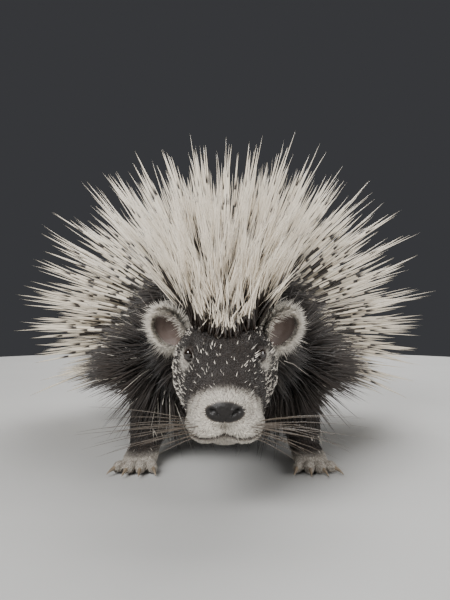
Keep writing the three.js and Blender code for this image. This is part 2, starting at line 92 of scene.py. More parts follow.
camera = bpy.data.objects.new("camera", bpy.data.cameras.new("camera"))
camera.data.sensor_width = SENSOR_MM
camera.data.lens = FOCAL_PX / IMAGE_HEIGHT * SENSOR_MM
camera.location = (0, camera_y, camera_z)
camera.rotation_euler = (math.radians(90), 0, 0)
bpy.context.scene.collection.objects.link(camera)
bpy.context.scene.camera = camera
print(f"camera {-camera_y:.3f} m in front, {camera_z:.3f} m up")

# %% [markdown]
# All shapes below are worked out with numpy as whole arrays, from four small tools: a soft
# step, a blend, a unit vector and a smooth curve through given points. All chance comes from
# one generator with a fixed seed, so that the animal is the same each time.

# %% Curves
SEED = 41
rng = np.random.default_rng(SEED)


def smooth(low_edge, high_edge, value):
    """0 below low_edge, 1 above high_edge and 3t² - 2t³ between them."""
    t = np.clip((value - low_edge) / (high_edge - low_edge), 0, 1)
    return t * t * (3 - 2 * t)


def mix(a, b, t):
    """a where t is 0, b where t is 1, and a straight blend between."""
    return a + (b - a) * t


def unit(vectors):
    """Each vector divided by its length."""
    return vectors / np.maximum(np.linalg.norm(vectors, axis=-1, keepdims=True), 1e-12)


def spline(knots, t):
    """Points at shares t of a smooth curve through the knots. Each span is a cubic whose end
    slopes lean on the neighbouring knots, weighted by the square root of their distance."""
    knots = np.asarray(knots, float)
    ends = 2 * knots[[0, -1]] - knots[[1, -2]]
    k = np.vstack([ends[:1], knots, ends[1:]])
    where = np.clip(t, 0, 1) * (len(knots) - 1)
    i = np.minimum(where.astype(int), len(knots) - 2)
    w = (where - i)[:, None]
    p0, p1, p2, p3 = k[i], k[i + 1], k[i + 2], k[i + 3]
    gap = lambda a, b: np.sqrt(np.linalg.norm(b - a, axis=1, keepdims=True))
    d0, d1, d2 = gap(p0, p1), gap(p1, p2), gap(p2, p3)
    m1 = ((p1 - p0) / d0 - (p2 - p0) / (d0 + d1) + (p2 - p1) / d1) * d1
    m2 = ((p2 - p1) / d1 - (p3 - p1) / (d1 + d2) + (p3 - p2) / d2) * d1
    return p1 + m1 * w + (3 * (p2 - p1) - 2 * m1 - m2) * w**2 + (2 * (p1 - p2) + m1 + m2) * w**3


print("a soft step is", smooth(0, 1, 0.25).round(3), "a quarter of the way along")

# %% [markdown]
# Every body part is a rounded form swept along a path: at each share of its length it has a
# half width, a height above the path and a depth below it, and its two ends are rounded
# over. Written as a function of a share and an angle, the same form gives the skin, the
# roots of the quills and the lie of the coat, so they can't drift apart.

# %% Forms
class Form:
    """A rounded part swept along a path. Rows hold x, y, z, half width, height above the
    path and depth below it, in millimetres, and caps are the shares of its round ends."""

    def __init__(self, rows, caps, square=2.0):
        rows = np.asarray(rows, float)
        self.path, self.size = rows[:, :3], rows[:, 3:]
        self.caps, self.square = caps, square

    def frame(self, s):
        """Centre, direction along, side and up at shares s."""
        step = 1e-4
        along = unit(spline(self.path, s + step) - spline(self.path, s - step))
        across = np.array([1.0, 0, 0])
        side = unit(across - along * along[:, :1])
        return spline(self.path, s), along, side, np.cross(side, along)

    def at(self, s, angle, grow=0.0):
        """The skin's point at shares s and angles from the top, positive towards +X:
        centre + side·sin·width + up·cos·height, both shrunk to nothing at the round ends."""
        s, angle = np.broadcast_arrays(np.asarray(s, float), np.asarray(angle, float))
        shape = s.shape
        s, angle = s.ravel(), angle.ravel()
        centre, along, side, up = self.frame(s)
        width, above, below = spline(self.size, s).T + grow
        cos, sin = np.cos(angle), np.sin(angle)
        start, end = 1 - s / self.caps[0], 1 - (1 - s) / self.caps[1]
        full = np.sqrt(np.maximum(0, 1 - np.maximum(np.maximum(start, end), 0) ** 2))
        lift = np.where(cos > 0, above, below)
        rounded = lambda v: np.sign(v) * np.abs(v) ** (2 / self.square)
        push = grow * (np.maximum(0, end) - np.maximum(0, start))
        points = centre + side * (rounded(sin) * width * full)[:, None]
        points += up * (rounded(cos) * lift * full)[:, None] + along * push[:, None]
        return points.reshape(*shape, 3)

    def normal(self, s, angle):
        """Outward normal: the cross product of the two ways along the skin."""
        step = 0.01
        s = np.clip(s, step, 1 - step)
        along = self.at(s + step, angle) - self.at(s - step, angle)
        around = self.at(s, angle + step) - self.at(s, angle - step)
        return -unit(np.cross(along, around))


bud = Form([[0, 0, 0, 10, 10, 10], [0, 20, 0, 12, 12, 12]], (0.5, 0.5))
print("the top of a small bud lies at", bud.at(0.5, 0.0).round(2))

# %% [markdown]
# The sizes below are the animal's own, in millimetres, and are the ones its solids were
# built from. The head hangs at a pitch, so its rows are laid along a sloping axis.

# %% The head's size
NOSE = np.array([0.0, -424, 98])
HEAD_LENGTH = 176
HEAD_PITCH = math.radians(22)
BACK_HEIGHT = 286
HEADWARDS = np.array([0, -math.cos(HEAD_PITCH), -math.sin(HEAD_PITCH)])
HEAD_UP = np.array([0, -math.sin(HEAD_PITCH), math.cos(HEAD_PITCH)])
LEFT = np.array([1.0, 0, 0])


def on_head(back, left, up):
    """The point a distance behind the nose, to the left of and above the head's axis."""
    return NOSE - HEADWARDS * back + LEFT * left + HEAD_UP * up


HEAD_SECTIONS = [
    [36, 40, 34],
    [41, 50, 40],
    [47, 58, 46],
    [55, 63, 52],
    [61, 62, 56],
    [58, 55, 58],
    [45, 44, 49],
]
head_rows = [
    [*on_head(HEAD_LENGTH * i / 6, 0, 0), *section] for i, section in enumerate(HEAD_SECTIONS)
]
head = Form(head_rows, (0.15, 0.2), 2.2)
print("head", HEAD_LENGTH, "mm long and", 2 * max(row[0] for row in HEAD_SECTIONS), "mm wide")

# %% The size of trunk, neck and tail
torso = Form(
    [
        [0, -205, 170, 62, 60, 62],
        [0, -115, 171, 92, 86, 84],
        [0, -25, 173, 112, 102, 98],
        [0, 65, 175, 124, BACK_HEIGHT - 175, 105],
        [0, 155, 173, 126, BACK_HEIGHT - 176, 104],
        [0, 245, 167, 112, 98, 92],
        [0, 335, 158, 82, 72, 68],
    ],
    (0.15, 0.22),
    2.15,
)
neck = Form(
    [
        [0, -296, 150, 44, 42, 46],
        [0, -238, 159, 56, 54, 56],
        [0, -180, 167, 68, 66, 66],
        [0, -120, 171, 78, 74, 74],
    ],
    (0.2, 0.2),
)
tail = Form(
    [
        [0, 300, 138, 34, 32, 30],
        [0, 344, 128, 28, 25, 24],
        [0, 384, 116, 21, 18, 18],
        [0, 418, 104, 14, 12, 12],
    ],
    (0.2, 0.3),
)
print("trunk", round(2 * torso.size[:, 0].max()), "mm wide, its back", BACK_HEIGHT, "mm high")

# %% [markdown]
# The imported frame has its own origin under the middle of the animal. The eyes lie inside
# neither coat nor quills, so the left eye's box tells how far the two origins are apart.

# %% Where the frame lies
EYE_RADIUS = 7
EYE_SHARE, EYE_ANGLE = 0.44, 50


def under_head(share, degrees, depth):
    """The point a depth under the head's skin, at an angle in degrees from its top."""
    share, angle = np.array([share]), np.array([math.radians(degrees)])
    return (head.at(share, angle) - head.normal(share, angle) * depth)[0]


def head_normal(share, degrees):
    """The way that the head's skin faces there."""
    return head.normal(np.array([share]), np.array([math.radians(degrees)]))[0]


def eye_centre(side):
    """The eye's centre lies half its radius under the head's skin."""
    return under_head(EYE_SHARE, EYE_ANGLE * side, EYE_RADIUS * 0.5)


eye_box = np.array([list(corner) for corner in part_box("eye_left")])
SHIFT = eye_box.mean(axis=0) / MM - eye_centre(1)
print("the frame's origin lies", SHIFT.round(3), "mm from the drawing's")

# %% [markdown]
# A shell is a grid of points: rings of the same number of points, walls between them, and a
# closed end. Its faces are worked out as numbers of points, without a loop.

# %% Closed shells
def triangles_of(faces):
    """The faces themselves, or two triangles for each if they are quads."""
    return np.vstack([faces[:, [0, 1, 2]], faces[:, [0, 2, 3]]]) if faces.shape[1] == 4 else faces


def outwards(points, faces):
    """The faces, turned over if the shell's signed volume, a sixth of the sum of a·(b×c) over
    its triangles, is negative."""
    triangles = triangles_of(faces)
    a, b, c = (points[triangles[:, k]] for k in range(3))
    return faces[:, ::-1] if np.einsum("ij,ij->i", a, np.cross(b, c)).sum() < 0 else faces


def tube_faces(rings, sides, wrap_rings=False):
    """Quads between neighbouring rings of a grid whose columns close round."""
    last = rings if wrap_rings else rings - 1
    i, j = np.indices((last, sides)).reshape(2, -1)
    next_i, next_j = (i + 1) % rings, (j + 1) % sides
    here, there = i * sides, next_i * sides
    return np.stack([here + j, here + next_j, there + next_j, there + j], 1)


def closed_grid(grid):
    """Points and triangles of a grid of rings, closed at each end by the end ring's mean."""
    rings, sides = grid.shape[:2]
    quads = tube_faces(rings, sides)
    first, last, top = rings * sides, rings * sides + 1, (rings - 1) * sides
    j = np.arange(sides)
    near = np.stack([np.full(sides, first), (j + 1) % sides, j], 1)
    far = np.stack([np.full(sides, last), j + top, (j + 1) % sides + top], 1)
    points = np.vstack([grid.reshape(-1, 3), grid[0].mean(0), grid[-1].mean(0)])
    return points, np.vstack([triangles_of(quads), near, far])


def join(parts):
    """One pair of points and faces from many, with each part's face numbers moved on."""
    starts = np.cumsum([0] + [len(points) for points, _ in parts[:-1]])
    faces = [outwards(points, faces) + start for (points, faces), start in zip(parts, starts)]
    return np.vstack([points for points, _ in parts]), np.vstack(faces)


print("3 rings of 4 points close into", len(closed_grid(np.zeros((3, 4, 3)))[1]), "triangles")

# %% [markdown]
# Every new piece comes through one helper: it takes points in millimetres and faces as whole
# arrays, turns the faces outwards, moves the points into the frame in metres, and stores any
# attributes that the materials read later. The object itself stays at the origin.

# %% Mesh objects
def mesh_object(name, points, faces, values=None, uv=None):
    """A mesh object at the origin from points in mm and one array of faces. values holds one
    number a point for each attribute, and uv a place on the unwrap for each point."""
    faces = outwards(points, faces)
    mesh = bpy.data.meshes.new(name)
    mesh.vertices.add(len(points))
    mesh.vertices.foreach_set("co", ((points + SHIFT) * MM).astype(np.float32).ravel())
    mesh.loops.add(faces.size)
    mesh.loops.foreach_set("vertex_index", faces.astype(np.int32).ravel())
    mesh.polygons.add(len(faces))
    mesh.polygons.foreach_set("loop_start", np.arange(0, faces.size, faces.shape[1], dtype=np.int32))
    mesh.update(calc_edges=True)
    mesh.polygons.foreach_set("use_smooth", np.full(len(faces), True))
    for key, numbers in (values or {}).items():
        layer = mesh.attributes.new(key, "FLOAT", "POINT")
        layer.data.foreach_set("value", np.asarray(numbers, np.float32))
    if uv is not None:
        layer = mesh.uv_layers.new(name="OFBake")
        layer.data.foreach_set("uv", uv[faces.ravel()].astype(np.float32).ravel())
    piece = bpy.data.objects.new(name, mesh)
    bpy.context.scene.collection.objects.link(piece)
    return piece


def triangle_count(piece):
    """Triangles of a mesh piece: each face has two fewer than its corners."""
    return sum(len(polygon.vertices) - 2 for polygon in piece.data.polygons)


# %% [markdown]
# A leg is a limb, a foot and its toes: four in front and five behind, spread in a fan and
# turned a little out. Sizes are given for the left side and mirrored for the right one.

# %% The size of legs, feet and toes
LIMBS = {
    "fore": [
        [66, -112, 156, 42, 50, 48],
        [90, -134, 110, 37, 42, 40],
        [106, -170, 60, 27, 30, 28],
        [111, -204, 8, 22, 21, 20],
    ],
    "hind": [
        [72, 186, 150, 48, 64, 60],
        [100, 178, 108, 46, 56, 52],
        [113, 206, 58, 30, 34, 32],
        [109, 236, 10, 22, 21, 20],
    ],
}
FEET = {
    "fore": [
        [114, -250, 12, 23, 9, 13],
        [113, -228, 13, 24, 14, 15],
        [111, -204, 15, 22, 19, 17],
        [108, -180, 14, 18, 14, 15],
    ],
    "hind": [
        [117, 150, 12, 23, 9, 13],
        [115, 177, 13, 23, 13, 15],
        [111, 212, 15, 21, 16, 17],
        [108, 248, 14, 18, 14, 15],
    ],
}
TOES = {
    "fore": {"count": 4, "fan": 50, "length": 24, "width": 7.0, "claw": 17, "turn_out": 7},
    "hind": {"count": 5, "fan": 58, "length": 21, "width": 6.2, "claw": 14, "turn_out": 9},
}
LEGS = [(leg, side) for leg in ("fore", "hind") for side in (1, -1)]


def toe_places(leg, side):
    """For each toe its root, its end and its heading, spread in a fan and turned out."""
    toe = TOES[leg]
    share = np.linspace(-0.5, 0.5, toe["count"])
    turn = np.radians(share * toe["fan"] + toe["turn_out"]) * side
    heading = np.stack([np.sin(turn), -np.cos(turn), 0 * turn], 1)
    root = np.array([side * FEET[leg][0][0], FEET[leg][0][1] + 2, 8.4]) + 0 * heading
    root[:, 0] += share * toe["width"] * 4.6 * side
    root[:, 1] += np.abs(share) * 12
    return root, root + heading * (toe["length"] - 8), heading


def toe_radii(leg):
    """A toe's half length, half width and half height."""
    return (TOES[leg]["length"] + 8) / 2 - 1, TOES[leg]["width"] - 0.6, 7.8


print("toes", sum(TOES[leg]["count"] for leg, _ in LEGS))

# %% [markdown]
# The skin is one closed surface, so that no seam shows where a leg meets the body. Its parts
# are closed forms that run into each other; a voxel remesh welds them into a single skin and
# a few rounds of smoothing turn the creases between them into soft flesh. It lies a few
# millimetres inside the solids, which leaves room for the coat.

# %% Shells
COAT_DEPTH = 3
FACE_DEPTH = 2
FOOT_DEPTH = 1.5


def form_shell(form, rings, sides, grow):
    """A form's skin as a closed grid, with rings closer together at its two round ends."""
    s = 0.5 - 0.5 * np.cos(np.linspace(0.04, math.pi - 0.04, rings))
    angle = np.linspace(0, 2 * math.pi, sides, endpoint=False)
    return closed_grid(form.at(s[:, None], angle[None, :], grow))


def egg(centre, radii, facing=(0, -1, 0), rise=(0, 0, 1), rings=14, sides=20):
    """An ellipsoid: centre + facing·r0·cos t + across·r1·sin t·cos a + up·r2·sin t·sin a."""
    facing = unit(np.array(facing, float))
    across = unit(np.cross(facing, rise))
    up = unit(np.cross(across, facing))
    t = np.linspace(0.1, math.pi - 0.1, rings)[:, None, None]
    a = np.linspace(0, 2 * math.pi, sides, endpoint=False)[None, :, None]
    grid = facing * radii[0] * np.cos(t) + across * radii[1] * np.sin(t) * np.cos(a)
    return closed_grid(np.array(centre) + grid + up * radii[2] * np.sin(t) * np.sin(a))


def mirrored(rows, side):
    """The rows with their first number, the place across the body, times the side."""
    return [[row[0] * side, *row[1:]] for row in rows]


def leg_shells(leg, side):
    """A leg's limb, its foot and its toes."""
    root, end, heading = toe_places(leg, side)
    toes = [egg(middle, toe_radii(leg), way) for middle, way in zip((root + end) / 2, heading)]
    limb = Form(mirrored(LIMBS[leg], side), (0.2, 0.12))
    foot = Form(mirrored(FEET[leg], side), (0.2, 0.25))
    return [form_shell(limb, 28, 32, -COAT_DEPTH), form_shell(foot, 24, 28, -FOOT_DEPTH)] + toes


def face_shells():
    """The pads that give the muzzle its depth: chin, nose, two lip pads and two brows."""
    shells = [egg(on_head(27, 0, -28), (23, 22, 12)), egg(on_head(4, 0, 15), (10, 24, 15))]
    for side in (1, -1):
        shells.append(egg(on_head(15, side * 19, -9), (21, 21, 19)))
        brow_way = HEADWARDS - 0.3 * side * LEFT
        brow = under_head(EYE_SHARE + 0.02, 33 * side, 6)
        shells.append(egg(brow, (23, 12, 9.5), brow_way, head_normal(EYE_SHARE + 0.02, 33 * side)))
    return shells


shells = [form_shell(form, 48, 56, -COAT_DEPTH) for form in (torso, neck, tail)]
shells += [form_shell(head, 48, 56, -FACE_DEPTH)] + face_shells()
for side in (1, -1):
    shells += leg_shells("fore", side) + leg_shells("hind", side)
skin = mesh_object("skin", *join(shells))
print(len(shells), "closed shells run into each other")

# %% One skin
VOXEL = 3.5


def apply_modifiers(piece):
    """Puts what the piece's modifiers make into its mesh, and takes them off."""
    graph = bpy.context.evaluated_depsgraph_get()
    made = bpy.data.meshes.new_from_object(piece.evaluated_get(graph))
    piece.modifiers.clear()
    old, piece.data = piece.data, made
    bpy.data.meshes.remove(old)


weld = skin.modifiers.new("weld", "REMESH")
weld.mode = "VOXEL"
weld.voxel_size = VOXEL * MM
soften = skin.modifiers.new("soften", "SMOOTH")
soften.factor = 0.5
soften.iterations = 7
apply_modifiers(skin)
print("skin welded:", triangle_count(skin), "triangles")

# %% [markdown]
# The face and the toes need finer detail than the body, so only there the mesh is cut
# smaller. To find them, each point's place is worked out in the head's own directions, how
# far back from the nose, how far left and how far up, and as a distance from the toes.

# %% Finer skin on face and toes
FINE_HEAD = 128
TOE_REACH = 6


def mesh_points(piece):
    """The piece's points in mm of the drawing's frame, and their outward normals."""
    count = len(piece.data.vertices)
    points, normals = np.empty(count * 3, np.float32), np.empty(count * 3, np.float32)
    piece.data.vertices.foreach_get("co", points)
    piece.data.vertex_normals.foreach_get("vector", normals)
    return points.reshape(-1, 3) / MM - SHIFT, normals.reshape(-1, 3)


def head_place(points):
    """How far each point is behind the nose, left of and above the head's axis."""
    away = points - NOSE
    return -(away @ HEADWARDS), away[:, 0], away @ HEAD_UP


def refine(piece, near):
    """Cuts every edge between two points of the region in two."""
    mesh = bmesh.new()
    mesh.from_mesh(piece.data)
    edges = [edge for edge in mesh.edges if all(near[v.index] for v in edge.verts)]
    bmesh.ops.subdivide_edges(mesh, edges=edges, cuts=1, use_grid_fill=True, smooth=0.4)
    mesh.to_mesh(piece.data)
    mesh.free()


def bump(distance, width):
    """1 at distance 0, falling off as exp(-(distance/width)²)."""
    return np.exp(-((distance / width) ** 2))


def mouth_height(back, up):
    """How far a point is above the mouth line, which rises from the middle to the cheeks
    as it runs back along the muzzle: by 0.16 of how far back it is, and 3 mm at its corner."""
    return up - (0.16 * back - 15 + 3 * smooth(28, 46, back))


def toe_distance(p):
    """About how far each point is outside the nearest toe's ellipsoid, and how far it is in
    front of the foot that the toe grows from."""
    nearest, ahead = np.full(len(p), 99.0), np.full(len(p), -99.0)
    for leg, side in LEGS:
        long, wide, high = toe_radii(leg)
        root, end, heading = toe_places(leg, side)
        for middle, way in zip((root + end) / 2, heading):
            away = p - middle
            forward = away @ way / long
            sideways = np.cross(away, way)[:, 2] / wide
            outside = np.sqrt(forward**2 + sideways**2 + (away[:, 2] / high) ** 2) - 1
            outside = outside * TOES[leg]["width"]
            nearer = outside < nearest
            nearest = np.where(nearer, outside, nearest)
            ahead = np.where(nearer, FEET[leg][0][1] - p[:, 1], ahead)
    return nearest, ahead


points, _ = mesh_points(skin)
refine(skin, (head_place(points)[0] < FINE_HEAD) | (toe_distance(points)[0] < TOE_REACH))
print("skin, finer in places:", triangle_count(skin), "triangles")

# %% [markdown]
# Each feature of the face is a number for every point at once: near the mouth line, a
# nostril, a crease of the snout or an eye socket the point is moved in or out along its
# normal. Moved points keep one closed skin, which carved or added pieces would break.

# %% Mouth, nostrils and creases
MOUTH_DEPTH, MOUTH_WIDTH = 5.5, 2.3
LIP_SWELL = 1.4
CLEFT_DEPTH = 1.8
NOSTRIL_DEPTH, NOSTRIL_RIM = 4.6, 1.3
CREASE_DEPTH = 0.5

points, normals = mesh_points(skin)
back, left, up = head_place(points)
beside = np.abs(left)
front = 1 - smooth(40, 60, back)

above_mouth = mouth_height(back, up)
lip = 1 - smooth(38, 48, back)
move = -MOUTH_DEPTH * bump(above_mouth, MOUTH_WIDTH) * lip
move += LIP_SWELL * (bump(above_mouth - 6, 3) + bump(above_mouth + 6, 3)) * lip
cleft = (1 - smooth(10, 16, back)) * smooth(-17, -13, up) * (1 - smooth(6, 10, up))
move -= CLEFT_DEPTH * bump(left, 1.3) * cleft
slit_up = 12 + 0.5 * (beside - 6) + 2.2 * np.sin((beside - 6) * 0.33)
slit = front * (1 - smooth(14.5, 17, beside)) * smooth(4.5, 7, beside)
move -= NOSTRIL_DEPTH * bump(up - slit_up, 2.1) * slit * (1 - smooth(6, 14, back))
move += NOSTRIL_RIM * bump(up - slit_up - 4.2, 2.2) * slit
crease = front * smooth(5, 14, back) * smooth(3, 11, up) * (1 - smooth(29, 37, up))
move += CREASE_DEPTH * np.sin(back * 0.9 + beside * 0.25) * crease
print("the nostrils are", round(-move[up > 8].min(), 1), "mm deep")

# %% Eye sockets and toes
SOCKET_DEPTH = 4.2
FOLD_HEIGHT = 0.7
TEAR_DEPTH = 2.6
TOE_GAP = 1.2

for side in (1, -1):
    eye = eye_centre(side)
    reach = np.linalg.norm(points - eye, axis=1)
    move -= SOCKET_DEPTH * (1 - smooth(7, 15, reach))
    move += FOLD_HEIGHT * np.sin(reach * 1.15) * smooth(11, 14, reach) * (1 - smooth(20, 30, reach))
    tear_hollow = eye + HEADWARDS * 15 + LEFT * side * 4 - HEAD_UP * 2
    move -= TEAR_DEPTH * bump(np.linalg.norm(points - tear_hollow, axis=1), 10)
outside, ahead = toe_distance(points)
between_toes = smooth(-3, 3, ahead) * smooth(0.5, 3, points[:, 2]) * (outside < TOE_REACH)
move -= TOE_GAP * np.clip(outside, -1.5, 3.5) * between_toes
skin_points = points + normals * move[:, None]
skin_points[:, 2] = np.maximum(skin_points[:, 2], 0.2)
skin.data.vertices.foreach_set("co", ((skin_points + SHIFT) * MM).astype(np.float32).ravel())
skin.data.update()
print("points were moved", move.min().round(1), "to", move.max().round(1), "mm")

# %% [markdown]
# Fur on this animal is bristle: coarse, flattened hairs that lie back along the body. Each
# tuft is a thin closed blade of three sides that leaves the skin at a slope and bends over
# along its lie. Thousands overlap like thatch. The roots are drawn over the skin's own
# triangles by area. Masks over the whole body, each a smooth number from 0 to 1, tell the
# head and the legs from the trunk, so that nothing about the coat changes at a line.

# %% Places on the skin
def skin_triangles(piece):
    """The skin's triangles as corner points, with their areas, middles and normals."""
    mesh = piece.data
    mesh.calc_loop_triangles()
    corners = np.empty(len(mesh.loop_triangles) * 3, np.int32)
    mesh.loop_triangles.foreach_get("vertices", corners)
    points = mesh_points(piece)[0][corners.reshape(-1, 3)]
    cross = np.cross(points[:, 1] - points[:, 0], points[:, 2] - points[:, 0])
    size = np.linalg.norm(cross, axis=1)
    return points, size / 2, points.mean(1), cross / np.maximum(size, 1e-9)[:, None]


SKIN_SURFACE = skin_triangles(skin)
EYES = [eye_centre(side) for side in (1, -1)]


def on_legs(p):
    """1 on the legs below the body, 0 on the body."""
    lateral = smooth(42, 62, np.abs(p[:, 0]))
    return lateral * (1 - smooth(74, 112, p[:, 2]))


def on_head_mask(p):
    """1 on the head, falling to 0 over the joint with the neck."""
    return 1 - smooth(128, 165, head_place(p)[0])


def mouth_distance(p):
    """The distance above or below the mouth line, and a large one away from the muzzle."""
    h, _, u = head_place(p)
    return np.abs(mouth_height(h, u)) + 40 * smooth(40, 50, h)


def eye_distance(p):
    """The distance to the nearer eye's centre."""
    return np.minimum(*(np.linalg.norm(p - eye, axis=1) for eye in EYES))


print("skin area", round(SKIN_SURFACE[1].sum() / 1e6, 3), "square metres")

# %% [markdown]
# The lie is one field over the whole body, backwards on the head and trunk and down on the
# legs, with a swirl round each eye. The length is another: a few millimetres on the face and
# toes, and up to a hand's breadth beside the neck and chest.

# %% How the coat lies and how long it is
def laid_flat(way, out):
    """The part of each way that runs along the skin, which faces out."""
    return way - out * np.einsum("ij,ij->i", way, out)[:, None]


def lie_field(p, out):
    """The way the coat lies: backwards along the body, more and more down on the sides and
    legs, outwards from the nose on the muzzle, then laid flat against the skin."""
    h, x, u = head_place(p)
    in_head, in_legs = on_head_mask(p)[:, None], on_legs(p)[:, None]
    body = np.array([0, 1.0, -0.42]) + np.stack([0.0016 * x, 0 * x, 0 * x], 1)
    from_nose = LEFT * x[:, None] + HEAD_UP * (u - 15)[:, None]
    spread = (0.2 + 1.6 * (1 - smooth(0, 55, h)))[:, None]
    face = -HEADWARDS + unit(from_nose) * spread
    for eye in EYES:
        away = p - eye
        near = bump(np.linalg.norm(away, axis=1), 13)[:, None]
        face = face + 1.1 * near * unit(away)
    way = mix(mix(body, face, in_head), np.array([0, 0.25, -1.0]), in_legs)
    toes = in_legs * (1 - smooth(14, 34, p[:, 2]))[:, None]
    way = mix(way, np.array([0, -1.0, -0.25]), toes)
    return unit(laid_flat(way, out) + 1e-6)


def coat_length(p):
    """The length of the coat in mm at each point."""
    h, x, u = head_place(p)
    face = mix(5.0, 11.0, smooth(8, 80, h))
    cheek = smooth(60, 150, h) * smooth(14, -30, u)
    face += 20 * cheek + 9 * smooth(96, 150, h) * smooth(20, 50, u)
    face = mix(3.2, face, smooth(10, 28, eye_distance(p)))
    face = mix(1.6, face, smooth(2, 9, mouth_distance(p)))
    beside = smooth(24, 52, np.abs(x)) * smooth(90, 125, p[:, 2])
    neck = mix(50.0, 94.0, beside)
    chest = mix(60.0, 106.0, beside) * (1 - smooth(-130, 30, p[:, 1]))
    trunk = np.maximum(38.0, chest)
    body = mix(neck, trunk, smooth(-230, -150, p[:, 1])) * mix(1.0, 0.55, smooth(125, 90, p[:, 2]))
    legs = mix(8.0, 27.0, smooth(22, 96, p[:, 2]))
    legs = mix(4.0, legs, smooth(12, 30, p[:, 2]))
    return mix(mix(body, face, on_head_mask(p)), legs, on_legs(p))


coat = coat_length(SKIN_SURFACE[2])
print("coat", coat.min().round(1), "to", coat.max().round(1), "mm long")

# %% [markdown]
# The markings, and a painted highlight that lightens the toes, are numbers as well, so that
# skin and coat can carry the same ones. A pale mark lightens every tuft that grows on it; flecks
# are single tufts, longer than their neighbours and white at the end, which the picture shows as
# dashes on the cheeks.

# %% Markings and a painted highlight on the toes
def pale_mark_and_toe_highlight(p):
    """The markings and a painted highlight: 0 on the black-brown coat, up to 1 on the pale muzzle,
    on the throat collar and under the eyes, and on the toes, whose paleness is a painted highlight on
    black feet."""
    h, x, u = head_place(p)
    oval = (x / 43) ** 2 + ((u + 4) / 36) ** 2 + ((h - 2) / 40) ** 2
    muzzle = (1 - smooth(0.75, 1.35, oval)) * smooth(2.6, 3.8, mouth_distance(p))
    under = smooth(150, 118, p[:, 2])
    collar = bump(p[:, 1] + 250 - 0.25 * np.abs(x), 24) * under * smooth(95, 60, np.abs(x))
    # Painted highlight: the toes are lightened, though the feet are black.
    toes = 0.75 * on_legs(p) * smooth(26, 15, p[:, 2])
    return np.clip(0.9 * muzzle + 0.8 * collar + 0.9 * under_eyes(p) + toes, 0, 1)


def under_eyes(p):
    """A pale crescent under each eye: the lower half of a ring 15 mm from its centre."""
    away = [p - eye for eye in EYES]
    reach = [np.linalg.norm(k, axis=1) for k in away]
    below = [smooth(-0.1, 0.6, -(k @ HEAD_UP) / r) for k, r in zip(away, reach)]
    return sum(bump(r - 15, 6.5) * b for r, b in zip(reach, below))


def fleck_share(p):
    """The share of tufts that are long and white-ended: many on the cheeks and the sides of
    the brow, fewer on the neck, and hardly any down the middle of the face, round the eyes
    and on the legs."""
    h, x, _ = head_place(p)
    cheek = smooth(16, 34, np.abs(x)) * smooth(30, 60, h)
    face = (0.012 + 0.075 * cheek) * smooth(17, 26, eye_distance(p))
    return mix(mix(0.03, face, on_head_mask(p)), 0.012, on_legs(p))


marked = (pale_mark_and_toe_highlight(SKIN_SURFACE[2]) > 0.5) @ SKIN_SURFACE[1] / SKIN_SURFACE[1].sum()
print(f"{100 * marked:.1f}% of the skin is marked pale")

# %% [markdown]
# One function makes all tufts of a patch at once. A tuft's middle line starts in the skin,
# rises with its slope and bends back along its lie. A ring of three points lies at each
# share of the length: two edges and a ridge between them. Tufts, quills and whiskers are all
# strands of rings with a tip, so one function gives the faces of them all.

# %% Blades
def strand_faces(count, rings, sides):
    """Triangles of count closed strands whose points follow one another: walls between rings
    of that many sides, a tip and a cap at the root."""
    j = np.arange(sides)
    top = sides * (rings - 1)
    tip = np.stack([top + j, top + (j + 1) % sides, np.full(sides, sides * rings)], 1)
    cap = np.stack([np.zeros(sides - 2, int), np.arange(2, sides), np.arange(1, sides - 1)], 1)
    one = np.vstack([triangles_of(tube_faces(rings, sides)), tip, cap])
    return (one[None] + np.arange(count)[:, None, None] * (sides * rings + 1)).reshape(-1, 3)


def blades(root, out, lie, length, half, slope, curl, shares, sag=0.1):
    """Points of the blades: root + L·(lie·t + out·slope·t·(1 - curl·t) - up·sag·t²), with
    edges half·w(t) to each side and a ridge about half as high, where w rises from 0.75 to
    1 and falls to nothing at the tip. The first ring is sunk into the skin."""
    across = unit(np.cross(out, lie))
    t = np.array([*shares, 1.0])[None, :, None]
    size = length[:, None, None]
    rise = slope[:, None, None] * t * (1 - curl * t)
    line = root[:, None] + size * (lie[:, None] * t + out[:, None] * rise)
    line[..., 2:] -= size * sag * t**2
    line -= out[:, None] * (0.8 + 0.02 * size) * (t < 0.01)
    wide = half[:, None, None] * np.interp(t, [0, 0.25, 0.7, 1], [0.75, 1, 0.62, 0])
    side, ridge = across[:, None] * wide, out[:, None] * wide * 0.55
    rings = np.stack([line + side, line + ridge, line - side], 2)[:, :-1]
    count = len(root)
    return np.concatenate([rings.reshape(count, -1, 3), line[:, -1:]], 1)


print("a tuft has", len(strand_faces(1, 2, 3)), "triangles")

# %% [markdown]
# Each tuft gets a small patch of its own on an unwrap of the whole body, at the place where
# it is rooted, so that a baked picture can give it the colour of the skin below.

# %% The unwrap
PATCH = 0.003


